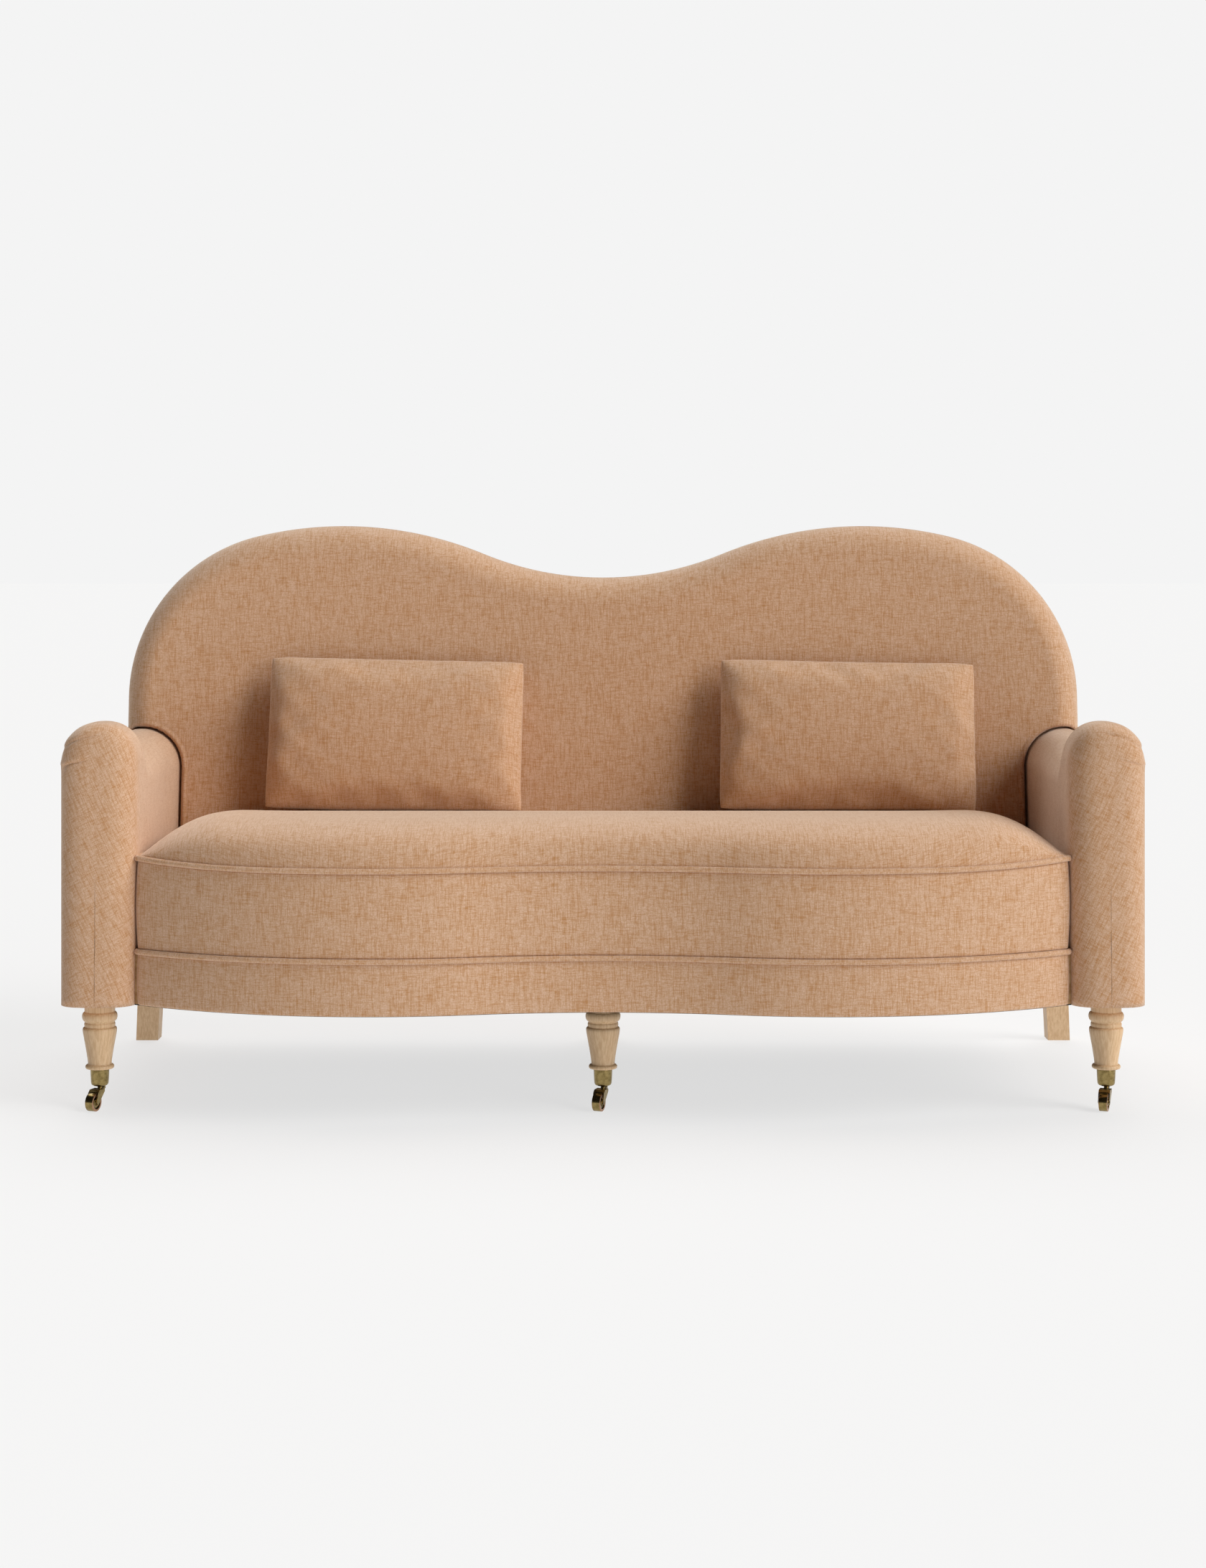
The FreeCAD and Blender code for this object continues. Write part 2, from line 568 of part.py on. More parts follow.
# Arms: foam round the stump and the rails, with a cover over it. They end against the back, no
# further than the plane where the back is widest
ridge_low = (S.back_front_low + S.back_rear_low) / 2
ridge_high = (S.back_front_high + S.back_rear_high) / 2
behind_ridge = block(-HALF, HALF, 0, HALF, -HALF, S.overall_width)
behind_ridge.rotate(Vector(0, 0, 0), Vector(1, 0, 0),
                    -math.degrees(math.atan2(ridge_high - ridge_low, S.hump_top - S.plinth_height)))
behind_ridge.translate(Vector(0, ridge_low, S.plinth_height))
arm_room = arm_form(-S.ease)
arm_pad = without(arm_form(SKIN), arm_core, behind_ridge, back_room, passage, below_rails)
arm_cover = without(arm_form(0), arm_form(S.fabric), behind_ridge, back_room, passage)
formed("arm_pad_left", arm_pad)
formed("arm_pad_right", mirrored(arm_pad))
formed("arm_cover_left", arm_cover)
formed("arm_cover_right", mirrored(arm_cover))

# Seat: lining on the webbing, foam, then the bands, the welts and the crown of the cover
welt_radius = S.welt_diameter / 2
seat_rear = HALF / 3
lining_bottom = DECK_TOP - S.ease - S.lining
formed("deck_cloth", seat_slab(SKIN, passage_reach - S.ease, number(post_front) - S.ease, lining_bottom,
                               lining_bottom + S.lining))
neighbours = [arm_room, mirrored(arm_room), back_room]
foam_room = seat_slab(SKIN, S.seat_reach, seat_rear, DECK_TOP + S.ease, S.hump_top)
formed("seat_foam", without(crown_form(SKIN, BELOW).common(foam_room), *neighbours))
above_welt = block(-HALF, HALF, -HALF, seat_rear, S.seat_edge + welt_radius + S.ease, S.hump_top)
crown = crown_form(0, BELOW).cut(crown_form(S.fabric, 0)).common(above_welt)
formed("seat_cover", without(crown, *neighbours))


def welt(height):
    """A covered cord that follows the serpentine front: one six-sided section, turned about the
    centre of each arc."""
    inset = SKIN - welt_radius - S.ease
    _, hump, dip = seat_arcs(inset)
    cord = None
    for (x, y), radius, start, end in (hump, dip):
        corners = [Vector(radius + welt_radius * math.cos(a), 0, welt_radius * math.sin(a))
                   for a in (math.pi / 3 * i for i in range(6))]
        section = Part.Face(Part.makePolygon(corners + corners[:1]))
        section.rotate(Vector(0, 0, 0), Vector(0, 0, 1), -math.degrees(max(start, end)))
        length = section.revolve(Vector(0, 0, 0), Vector(0, 0, 1), math.degrees(abs(end - start)))
        length.translate(Vector(x, -y, height))
        cord = length if cord is None else cord.fuse(length)
        if x != 0:
            cord = cord.fuse(mirrored(length))
    return cord.common(block(-S.band_reach, S.band_reach, -HALF, 0, 0, S.hump_top)).removeSplitter()


formed("seat_welt_upper", welt(S.seat_edge))
formed("seat_welt_lower", welt(S.apron_top))
formed("boxing_band", seat_strip(0, S.fabric, S.band_reach, S.apron_top + welt_radius + S.ease,
                                 S.seat_edge - welt_radius - S.ease))
formed("apron_band", seat_strip(0, S.fabric, S.band_reach, S.plinth_height,
                                S.apron_top - welt_radius - S.ease))

# Front legs, turned, with a tenon that stands in the caster's cup
LEG = [
    ("0", "leg_tenon_bottom"),
    ("leg_tenon_radius", "leg_tenon_bottom"),
    ("leg_tenon_radius", "leg_foot_bottom"),
    ("leg_foot_radius", "leg_foot_bottom"),
    ("leg_foot_radius", "leg_ankle_height"),
    ("leg_ankle_radius", "leg_ankle_height"),
    ("leg_shoulder_radius", "leg_shoulder_height"),
    ("leg_waist_radius", "leg_waist_height"),
    ("leg_waist_radius", "leg_bead_bottom"),
    ("leg_bead_radius", "(leg_bead_bottom + leg_bead_top) / 2"),
    ("leg_neck_radius", "leg_bead_top"),
    ("leg_neck_radius", rail_bottom),
    ("0", rail_bottom),
]
LEG_PLACES = (("left", "-arm_line"), ("centre", "0"), ("right", "arm_line"))


def set_of(name, steps):
    """A turned piece at each of the three front legs."""
    pieces = []
    for place, x in LEG_PLACES:
        piece = turned(f"{name}_{place}", steps)
        pieces.append(bind(piece, Placement__Base__x=x, Placement__Base__y="front_leg_line"))
    return keep(group(f"{name}_set", pieces), name)


set_of("front_legs", LEG)

# Rear legs, square, tapered and raked: drawn lying down, then stood up
for place, sign in (("left", "-1"), ("centre", "0"), ("right", "1")):
    leg = doc.addObject("Part::Wedge", f"rear_leg_{place}")
    leg.Placement = Placement(Vector(0, 0, 0), Rotation(Vector(1, 0, 0), 90))
    foot, head = f"{sign} * rear_leg_foot_reach", f"{sign} * rear_leg_head_reach"
    bind(leg, Ymin="0", Ymax=rail_bottom,
         Xmin=f"{foot} - rear_leg_bottom / 2", Xmax=f"{foot} + rear_leg_bottom / 2",
         Zmin="-rear_leg_foot - rear_leg_bottom / 2", Zmax="-rear_leg_foot + rear_leg_bottom / 2",
         X2min=f"{head} - rear_leg_top / 2", X2max=f"{head} + rear_leg_top / 2",
         Z2min="-rear_leg_head - rear_leg_top / 2", Z2max="-rear_leg_head + rear_leg_top / 2")
    keep(leg, f"rear_leg_{place}")

# Dust cover under the frame, cut out for the centre front leg
dust = seat_slab(SKIN, passage_reach - S.ease, S.rear_leg_head - S.rear_leg_top / 2 - S.ease,
                 S.plinth_height, S.plinth_height + S.dust_thickness)
leg_hole = Part.makeCylinder(S.leg_neck_radius + S.ease, S.plinth_height,
                             Vector(0, S.front_leg_line, S.plinth_height / 2))
formed("dust_cover", dust.cut(leg_hole))

# Casters
CUP = [
    ("stem_radius", "stem_bottom"),
    ("stem_radius", "cup_bottom"),
    ("cup_edge", "cup_bottom"),
    ("cup_radius", "cup_base"),
    ("cup_radius", "leg_foot_bottom"),
    ("cup_bore", "leg_foot_bottom"),
    ("cup_bore", "cup_floor"),
    ("pin_bore", "cup_floor"),
    ("pin_bore", "stem_bottom"),
]
WHEEL = [
    ("axle_bore", "-wheel_width / 2"),
    ("wheel_radius", "-wheel_width / 2"),
    ("wheel_radius", "wheel_width / 2"),
    ("axle_bore", "wheel_width / 2"),
]
AXLE = [
    ("0", "-wheel_width / 2 - horn_gap - cheek_thickness - axle_end"),
    ("axle_radius", "-wheel_width / 2 - horn_gap - cheek_thickness - axle_end"),
    ("axle_radius", "wheel_width / 2 + horn_gap + cheek_thickness + axle_end"),
    ("0", "wheel_width / 2 + horn_gap + cheek_thickness + axle_end"),
]
set_of("caster_cups", CUP)


def horn():
    """The horn about its swivel pin at the origin, with the wheel ahead of it, towards -Y.

    A plate on edge gives the side view, and the wheel's room is cut out of it between two cheeks.
    """
    half_gap = S.wheel_width / 2 + S.horn_gap
    half_out = half_gap + S.cheek_thickness
    hub = Vector(0, -S.trail, S.wheel_radius)
    room_top = 2 * S.wheel_radius + S.horn_room
    room_rear = S.wheel_radius + S.horn_room - S.trail
    sides = [hub + Vector(0, -S.cheek_radius, 0), hub + Vector(0, 0, S.wheel_radius),
             Vector(0, -S.trail + S.cheek_radius, S.horn_top), Vector(0, S.stem_radius, S.horn_top),
             Vector(0, S.horn_tail, S.horn_top + S.tail_rise),
             Vector(0, S.horn_tail, S.horn_top - S.tail_drop),
             Vector(0, 0, room_top - S.horn_room), hub + Vector(0, S.cheek_radius, 0),
             hub + Vector(0, 0, -S.cheek_radius)]
    plate = Part.Face(Part.makePolygon(sides + sides[:1])).extrude(Vector(2 * half_out, 0, 0))
    plate.translate(Vector(-half_out, 0, 0))
    gap = block(-half_gap, half_gap, -2 * S.trail, room_rear, 0, room_top)
    tail = block(-S.stem_radius, S.stem_radius, 0, S.horn_tail, 0, S.plinth_height)
    bridge = block(-half_out, half_out, -2 * S.trail, 0, 0, S.plinth_height)
    bore = Part.makeCylinder(S.axle_bore, 2 * half_out, hub - Vector(half_out, 0, 0), Vector(1, 0, 0))
    plate = plate.cut(gap).common(bridge.fuse(tail)).cut(bore)
    pin = Part.makeCylinder(S.pin_radius, S.pin_top - S.horn_top, Vector(0, 0, S.horn_top))
    return plate.fuse(pin).removeSplitter()


for place, x in LEG_PLACES:
    swivel = Placement(Vector(number(x), S.front_leg_line, 0), Rotation(Vector(0, 0, 1), -S.swivel_turn))
    formed(f"caster_horn_{place}", horn()).Placement = swivel
    lying = Rotation(Vector(0, 0, 1), -S.swivel_turn).multiply(Rotation(Vector(0, 1, 0), 90))
    wheel_x = f"{x} - trail * sin(swivel_turn)"
    wheel_y = "front_leg_line - trail * cos(swivel_turn)"
    wheel = turned(f"caster_wheel_{place}", WHEEL)
    axle = turned(f"caster_axle_{place}", AXLE)
    for piece, label in ((wheel, "wheel"), (axle, "axle")):
        piece.Placement = Placement(Vector(0, 0, 0), lying)
        bind(piece, Placement__Base__x=wheel_x, Placement__Base__y=wheel_y,
             Placement__Base__z="wheel_radius")
        keep(piece, f"caster_{label}_{place}")

# Loose lumbar pillows. Each starts above the seat and in front of the back, and is let down and
# pushed back by no more than its clearance until it lies on the one and leans on the other
seat_cover = next(p for p in parts if p.Label == "seat_cover")
back_shape = next(p for p in parts if p.Label == "back_cover")
PILLOW_START = Vector(0, S.back_front_low - S.pillow_thickness,
                      S.seat_edge + S.crown_rise + S.pillow_height / 2)
SEATING_ROUNDS = 9
for side, x in (("left", S.pillow_left), ("right", S.pillow_right)):
    turn = Rotation(Vector(0, 1, 0), S.pillow_roll).multiply(Rotation(Vector(1, 0, 0), 90 - S.pillow_lean))
    cover = pillow_form(0).cut(pillow_form(S.fabric))
    place = PILLOW_START + Vector(x, 0, 0)
    outside = pillow_form(0)
    for _ in range(SEATING_ROUNDS):
        for support, direction in ((seat_cover, Vector(0, 0, -1)), (back_shape, Vector(0, 1, 0))):
            outside.Placement = Placement(place, turn)
            room = outside.distToShape(support.Shape)[0] - S.ease
            place = place + direction * max(room, 0)
    formed(f"pillow_filling_{side}", pillow_form(SKIN)).Placement = Placement(place, turn)
    formed(f"pillow_cover_{side}", cover).Placement = Placement(place, turn)

doc.recompute()
faults = [o.Name for o in doc.Objects if "Invalid" in o.State or "Error" in o.State]
if faults:
    raise RuntimeError("objects that failed: " + ", ".join(faults))
for piece in parts:
    shape = piece.Shape
    if shape.isNull() or not shape.isValid() or not shape.Solids:
        raise RuntimeError("bad shape: " + piece.Label)
for piece in parts:
    piece.Shape.exportStep(f"parts/{piece.Label}.step")
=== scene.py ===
import math

import bmesh
import bpy
import numpy as np
from mathutils import Matrix, Vector


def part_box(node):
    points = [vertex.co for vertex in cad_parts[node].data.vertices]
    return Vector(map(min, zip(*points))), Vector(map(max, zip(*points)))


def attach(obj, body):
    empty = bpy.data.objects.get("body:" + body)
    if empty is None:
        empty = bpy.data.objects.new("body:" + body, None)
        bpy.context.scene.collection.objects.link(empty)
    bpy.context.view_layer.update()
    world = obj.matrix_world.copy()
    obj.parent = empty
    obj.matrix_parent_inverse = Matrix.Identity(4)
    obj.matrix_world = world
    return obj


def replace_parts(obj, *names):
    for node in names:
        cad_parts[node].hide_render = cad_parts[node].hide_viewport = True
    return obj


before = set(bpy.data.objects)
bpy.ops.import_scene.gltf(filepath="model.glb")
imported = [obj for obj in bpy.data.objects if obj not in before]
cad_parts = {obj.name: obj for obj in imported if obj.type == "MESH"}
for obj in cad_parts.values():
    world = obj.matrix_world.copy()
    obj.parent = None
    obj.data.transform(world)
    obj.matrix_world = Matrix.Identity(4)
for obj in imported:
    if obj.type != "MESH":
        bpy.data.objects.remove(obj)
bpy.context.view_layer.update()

# The room: a pale floor that runs out of sight, two soft lights from the front right, a wider one
# from above and behind, and a little light from all round. The camera is level, at the height of a
# table lamp.
BACKDROP = (0.905, 0.905, 0.905)
LIGHT_COLOUR = (1.0, 0.99, 0.975)
ROOM_LIGHT = 0.02
LIGHTS = {
    "key_light": {"strength": 1.93, "spread": 34, "round_from_camera": 67, "up": 36},
    "low_light": {"strength": 0.70, "spread": 24, "round_from_camera": 45, "up": 12},
    "top_light": {"strength": 1.85, "spread": 60, "round_from_camera": 180, "up": 62},
}
CAMERA_PLACE = (0.0, -4.902, 0.928)
FOCAL_LENGTH = 60.02
PICTURE_LONG_SIDE = 2185
HORIZON_ABOVE_MIDDLE = 281.5

scene = bpy.context.scene
scene.view_settings.view_transform = "Standard"
scene.world = bpy.data.worlds.new("studio")
scene.world.use_nodes = True
studio = scene.world.node_tree
lit = studio.nodes["Background"]
lit.inputs["Color"].default_value = (*LIGHT_COLOUR, 1)
lit.inputs["Strength"].default_value = ROOM_LIGHT
seen = studio.nodes.new("ShaderNodeBackground")
seen.inputs["Color"].default_value = (*BACKDROP, 1)
path = studio.nodes.new("ShaderNodeLightPath")
either = studio.nodes.new("ShaderNodeMixShader")
studio.links.new(path.outputs["Is Camera Ray"], either.inputs["Fac"])
studio.links.new(lit.outputs[0], either.inputs[1])
studio.links.new(seen.outputs[0], either.inputs[2])
studio.links.new(either.outputs[0], studio.nodes["World Output"].inputs["Surface"])

for name, light in LIGHTS.items():
    lamp = bpy.data.objects.new(name, bpy.data.lights.new(name, "SUN"))
    lamp.data.energy = light["strength"]
    lamp.data.angle = math.radians(light["spread"])
    lamp.data.color = LIGHT_COLOUR
    lamp.rotation_euler = (math.radians(90 - light["up"]), 0,
                           math.radians(light["round_from_camera"]))
    scene.collection.objects.link(lamp)

camera = bpy.data.objects.new("camera", bpy.data.cameras.new("camera"))
camera.location = CAMERA_PLACE
camera.rotation_euler = (math.radians(90), 0, 0)
camera.data.lens = FOCAL_LENGTH
camera.data.sensor_width = 36
camera.data.shift_y = -HORIZON_ABOVE_MIDDLE / PICTURE_LONG_SIDE
camera.data.clip_end = 4000
scene.collection.objects.link(camera)
scene.camera = camera

FLOOR_REACH = 1500.0
floor_mesh = bpy.data.meshes.new("floor")
floor_mesh.from_pydata([(-1, -1, 0), (1, -1, 0), (1, 1, 0), (-1, 1, 0)], [], [(0, 1, 2, 3)])
floor_mesh.transform(Matrix.Scale(FLOOR_REACH, 4))
floor = bpy.data.objects.new("floor", floor_mesh)
scene.collection.objects.link(floor)


# The hardwood frame inside the upholstery: sawn boards, glued blocks and posts. Only the makers see
# it, so its finish is the bare wood. The shader wrapper that every finish uses is defined here.

class Value:
    """An output of a shader node that can be used in arithmetic."""

    def __init__(self, finish, socket):
        self.finish, self.socket = finish, socket

    def calc(self, operation, *values):
        return self.finish.node("ShaderNodeMath", {"operation": operation}, dict(enumerate(values)))

    def __add__(self, other):
        return self.calc("ADD", self, other)

    def __mul__(self, other):
        return self.calc("MULTIPLY", self, other)

    def between(self, low, high):
        """0 below low, 1 above high, and smooth between them."""
        return self.finish.node("ShaderNodeMapRange", {"interpolation_type": "SMOOTHSTEP"},
                                {"Value": self, "From Min": low, "From Max": high})

    def stretched(self, scale):
        """A vector scaled along its three axes."""
        return self.finish.node("ShaderNodeMapping", {"vector_type": "POINT"},
                                {"Vector": self, "Scale": scale})

    def parts(self, count):
        """The first numbers of a vector."""
        split = self.finish.node("ShaderNodeSeparateXYZ", {}, {0: self})
        return [Value(self.finish, split.socket.node.outputs[i]) for i in range(count)]

    def noise(self, scale, detail=2.0, roughness=0.5):
        return self.finish.node("ShaderNodeTexNoise", {"noise_dimensions": "3D"},
                                {"Vector": self, "Scale": scale, "Detail": detail,
                                 "Roughness": roughness})


class Finish:
    """A material made of nodes; what is the same all over goes on the shader's own sockets."""

    def __init__(self, name, **fixed):
        self.material = bpy.data.materials.new(name)
        self.material.use_nodes = True
        self.tree = self.material.node_tree
        self.shader = self.tree.nodes["Principled BSDF"]
        for socket, value in fixed.items():
            self.shader.inputs[socket.replace("_", " ")].default_value = value

    def node(self, kind, settings=None, values=None, output=0):
        made = self.tree.nodes.new(kind)
        for name, value in (settings or {}).items():
            setattr(made, name, value)
        for name, value in (values or {}).items():
            self.give(made.inputs[name], value)
        return Value(self, made.outputs[output])

    def give(self, socket, value):
        if isinstance(value, Value):
            self.tree.links.new(value.socket, socket)
        elif socket.type == "RGBA" and len(value) == 3:
            socket.default_value = (*value, 1)
        else:
            socket.default_value = value

    def mix(self, factor, one, other):
        """Colour one, going to the other by the factor."""
        return self.node("ShaderNodeMix", {"data_type": "RGBA"}, {0: factor, 6: one, 7: other},
                         output=2)

    def shades(self, **channels):
        for name, value in channels.items():
            self.give(self.shader.inputs[name.replace("_", " ")], value)
        return self.material

    def bump(self, height, distance, strength=1.0):
        return self.node("ShaderNodeBump", {}, {"Height": height, "Distance": distance,
                                                "Strength": strength})


def srgb(red, green, blue):
    """A colour given as it looks on screen, from 0 to 255."""
    return tuple(((c / 255 + 0.055) / 1.055) ** 2.4 if c > 10 else c / 255 / 12.92
                 for c in (red, green, blue))


STRETCH = 0.04


def timber(name, pale, deep, along, roughness, grain_scale=70.0, pore_depth=0.35):
    """Planed wood with its grain along one axis of the piece."""
    finish = Finish(name, Roughness=roughness)
    where = finish.node("ShaderNodeTexCoord", output=3)
    squeeze = tuple(STRETCH if axis == along else 1.0 for axis in "xyz")
    rings = where.stretched(squeeze).noise(grain_scale, 3.0, 0.6)
    pores = where.stretched(tuple(s * s for s in squeeze)).noise(900.0, 2.0, 0.6)
    broad = where.noise(9.0, 1.0)
    streak = rings.between(0.35, 0.68) * 0.75 + broad * 0.25
    colour = finish.mix(streak, pale, deep)
    colour = finish.mix(pores.between(0.55, 0.72) * pore_depth, colour, deep)
    grain = finish.bump(pores * 0.6 + rings * 0.4, 0.0003, 0.5)
    return finish.shades(Base_Color=colour, Normal=grain,
                         Roughness=streak * 0.12 + (roughness - 0.05))


FRAME_BOARDS = {
    "x": ("front_rail", "back_rail", "back_mid_rail", "back_top_rail"),
    "y": ("side_rail_left", "side_rail_right", "centre_rail", "arm_rail_left", "arm_rail_right",
          "corner_blocks"),
    "z": ("arm_stump_left", "arm_stump_right", "back_post_left", "back_post_right",
          "back_centre_post"),
}


def finished(names, material):
    """Give CAD pieces a finish."""
    for name in names:
        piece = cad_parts[name]
        piece.data.materials.clear()
        piece.data.materials.append(material)


BOARD_PALE, BOARD_DEEP = srgb(206, 172, 128), srgb(168, 128, 86)
for axis, names in FRAME_BOARDS.items():
    finished(names, timber("frame_wood_" + axis, BOARD_PALE, BOARD_DEEP, axis, 0.62))


# The linings: jute straps in both directions under the seat and up the back, a cotton cloth over
# the seat's straps, and a black dust cover stapled under the frame.

def plain_cloth(name, warp, weft, pitch, axes):
    """A coarse plain weave: warp and weft threads that cross at a pitch in metres."""
    finish = Finish(name, Roughness=0.95)
    where = finish.node("ShaderNodeTexCoord", output=3)
    along, across = (tuple(1.0 if a == axis else STRETCH for a in "xyz") for axis in axes)
    one = where.stretched(along).noise(0.5 / pitch, 1.0)
    two = where.stretched(across).noise(0.5 / pitch, 1.0)
    colour = finish.mix(one.between(0.35, 0.65), warp, weft)
    colour = finish.mix(two.between(0.45, 0.7) * 0.6, colour, weft)
    return finish.shades(Base_Color=colour, Normal=finish.bump(one + two, pitch * 0.3, 0.8))


JUTE_THREAD, LINING_THREAD = 0.003, 0.0012
JUTE = srgb(176, 142, 92), srgb(128, 96, 56), JUTE_THREAD
COTTON = srgb(214, 206, 190), srgb(190, 180, 160), LINING_THREAD
BLACK = srgb(44, 42, 40), srgb(28, 27, 26), LINING_THREAD
finished(("seat_webbing_front_to_back", "seat_webbing_across"), plain_cloth("jute", *JUTE, "xy"))
finished(("back_webbing",), plain_cloth("back_jute", *JUTE, "xz"))
finished(("deck_cloth",), plain_cloth("cotton", *COTTON, "xy"))
finished(("dust_cover",), plain_cloth("dust_cloth", *BLACK, "xy"))


# The upholstery fabric: a linen-like weave in apricot. Its yarns are pinkish beige with golden
# slubs, more of them along the warp than along the weft, so that short dashes cross each other. It
# follows the cloth's own lengthways and crossways measure.
YARN, FINE_YARN = 0.00125, 0.00080
SLUB_LENGTH, CROSS_SLUB_LENGTH, FINE_LENGTH = 0.0260, 0.0240, 0.004
DEEP_YARN = srgb(201, 157, 121)
LIGHT_YARN = srgb(224, 191, 164)
SLUB_YARN = srgb(187, 131, 76)


def linen(name):
    finish = Finish(name, Roughness=0.9, Sheen_Weight=0.55, Sheen_Roughness=0.5,
                    Sheen_Tint=(1.0, 0.94, 0.84, 1), Specular_IOR_Level=0.25)
    where = finish.node("ShaderNodeUVMap", {"uv_map": "cloth"})
    across, along = where.parts(2)
    wander = where.noise(16.0, 1.0) * 0.6

    def yarns(side, run, pitch, length, seed):
        """One direction's yarns: each has its own run of thick and thin, light and dark."""
        number = side.calc("FLOOR", side * (1 / pitch) + wander)
        place = finish.node("ShaderNodeCombineXYZ", {},
                            {0: number * 3.17, 1: run * (1 / length), 2: seed})
        return place.noise(1.0, 1.0, 0.6)

    warp = yarns(across, along, YARN, SLUB_LENGTH, 1.3)
    weft = yarns(along, across, YARN, CROSS_SLUB_LENGTH, 7.9)
    fine_warp = yarns(across, along, FINE_YARN, FINE_LENGTH, 3.1)
    fine_weft = yarns(along, across, FINE_YARN, FINE_LENGTH, 5.7)
    slubs = warp.between(0.43, 0.67) * 0.50
    cross = weft.between(0.45, 0.69) * 0.42
    light = fine_warp.between(0.35, 0.65) * 0.5 + fine_weft.between(0.35, 0.65) * 0.5
    colour = finish.mix(light, DEEP_YARN, LIGHT_YARN)
    colour = finish.mix(slubs + cross, colour, SLUB_YARN)
    height = fine_warp * 0.5 + fine_weft * 0.5 + warp * 0.35 + weft * 0.25
    return finish.shades(Base_Color=colour, Normal=finish.bump(height, 0.0004, 0.6))


upholstery = linen("apricot_linen")


# The apron and the boxing band: two strips of fabric that run round the serpentine front of the
# seat, over the front rail and over the edge of the foam. The apron is turned under the rail.
HUMP_X, HUMP_FRONT, HUMP_RADIUS = 0.400, -0.461, 0.740
DIP_FRONT = -0.413
APRON_BOTTOM, LOWER_PIPING, UPPER_PIPING = 0.188, 0.282, 0.436
TURN_START, TURN_RADIUS, TUCK = 0.8075, 0.014, 0.050
LIFT, LIFT_START, LIFT_POWER = 0.0095, 0.520, 2.7
END_SPACING = 0.92
NARROWING, DEPTHS = (0.75, 0.80), (0.030, 0.012)


def serpentine(x):
    """How far forward the seat's front is at a place along the sofa: two bulges and a dip."""
    base = HUMP_FRONT + HUMP_RADIUS
    rise = base - DIP_FRONT
    dip_radius = (HUMP_X ** 2 + rise ** 2 - HUMP_RADIUS ** 2) / (2 * (HUMP_RADIUS - rise))
    turn = HUMP_X * dip_radius / (dip_radius + HUMP_RADIUS)
    x = np.abs(x)
    hump = base - np.sqrt(np.maximum(HUMP_RADIUS ** 2 - (x - HUMP_X) ** 2, 0))
    dip = DIP_FRONT - dip_radius + np.sqrt(np.maximum(dip_radius ** 2 - x ** 2, 0))
    return np.where(x < turn, dip, hump)


def front_line(count=181):
    """The front's line from above, with the way it faces; both ends turn in beside the arms."""
    angle = np.linspace(-1, 1, count) * math.pi / 2 * END_SPACING
    x = TURN_START * np.sin(angle) / math.sin(math.pi / 2 * END_SPACING)
    slope = np.gradient(serpentine(x), x)
    facing = np.stack([slope, -np.ones_like(x)], -1) / np.sqrt(1 + slope ** 2)[:, None]
    places = np.stack([x, serpentine(x)], -1)
    turn = np.linspace(math.asin(facing[-1, 0]), math.pi / 2, 9)[1:]
    turned = np.stack([np.sin(turn), -np.cos(turn)], -1)
    corner = places[-1] - TURN_RADIUS * facing[-1] + TURN_RADIUS * turned
    tucked = corner[-1] + np.linspace(0, TUCK, 5)[1:, None] * (0, 1)
    right = np.concatenate([corner, tucked])
    right_facing = np.concatenate([turned, np.tile(turned[-1], (4, 1))])
    return (np.concatenate([right[::-1] * (-1, 1), places, right]),
            np.concatenate([right_facing[::-1] * (-1, 1), facing, right_facing]))


def lift(x, z=None):
    """The upper piping rises a little where it nears the arms, and the boxing band with it."""
    rise = LIFT * np.clip((np.abs(x) - LIFT_START) / (TURN_START - LIFT_START), 0, 1) ** LIFT_POWER
    if z is None:
        return rise
    return rise * np.clip((z - LOWER_PIPING) / (UPPER_PIPING - LOWER_PIPING), 0, 1)


def welded(name, patches, body, material, weld=1e-6, straight_behind=9.0):
    """One mesh from grids of points, each with a grid of cloth measures; shared borders join."""
    points = np.concatenate([p.reshape(-1, 3) for p, _ in patches])
    cloth = np.concatenate([c.reshape(-1, 2) for _, c in patches])
    _, first, number = np.unique(np.round(points / weld).astype(np.int64), axis=0,
                                 return_index=True, return_inverse=True)
    number = number.reshape(-1)
    faces, corners, start = [], [], 0
    for grid, _ in patches:
        rows, columns = grid.shape[:2]
        index = np.arange(rows * columns).reshape(rows, columns) + start
        quads = np.stack([index[:-1, :-1], index[:-1, 1:], index[1:, 1:], index[1:, :-1]], -1)
        for quad in quads.reshape(-1, 4):
            kept = [q for i, q in enumerate(quad) if number[q] != number[quad[i - 1]]]
            if len(kept) > 2 and len({number[q] for q in kept}) == len(kept):
                faces.append([int(number[q]) for q in kept])
                corners.extend(kept)
        start += rows * columns
    mesh = bpy.data.meshes.new(name)
    mesh.from_pydata(points[first].tolist(), [], faces)
    layer = mesh.uv_layers.new(name="cloth")
    layer.data.foreach_set("uv", cloth[corners].astype(np.float32).ravel())
    mesh.polygons.foreach_set("use_smooth", [True] * len(mesh.polygons))
    mesh.materials.append(material)
    piece = bpy.data.objects.new(name, mesh)
    scene.collection.objects.link(piece)
    outwards(mesh)
    lay_straight(mesh, straight_behind)
    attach(piece, body)
    return piece


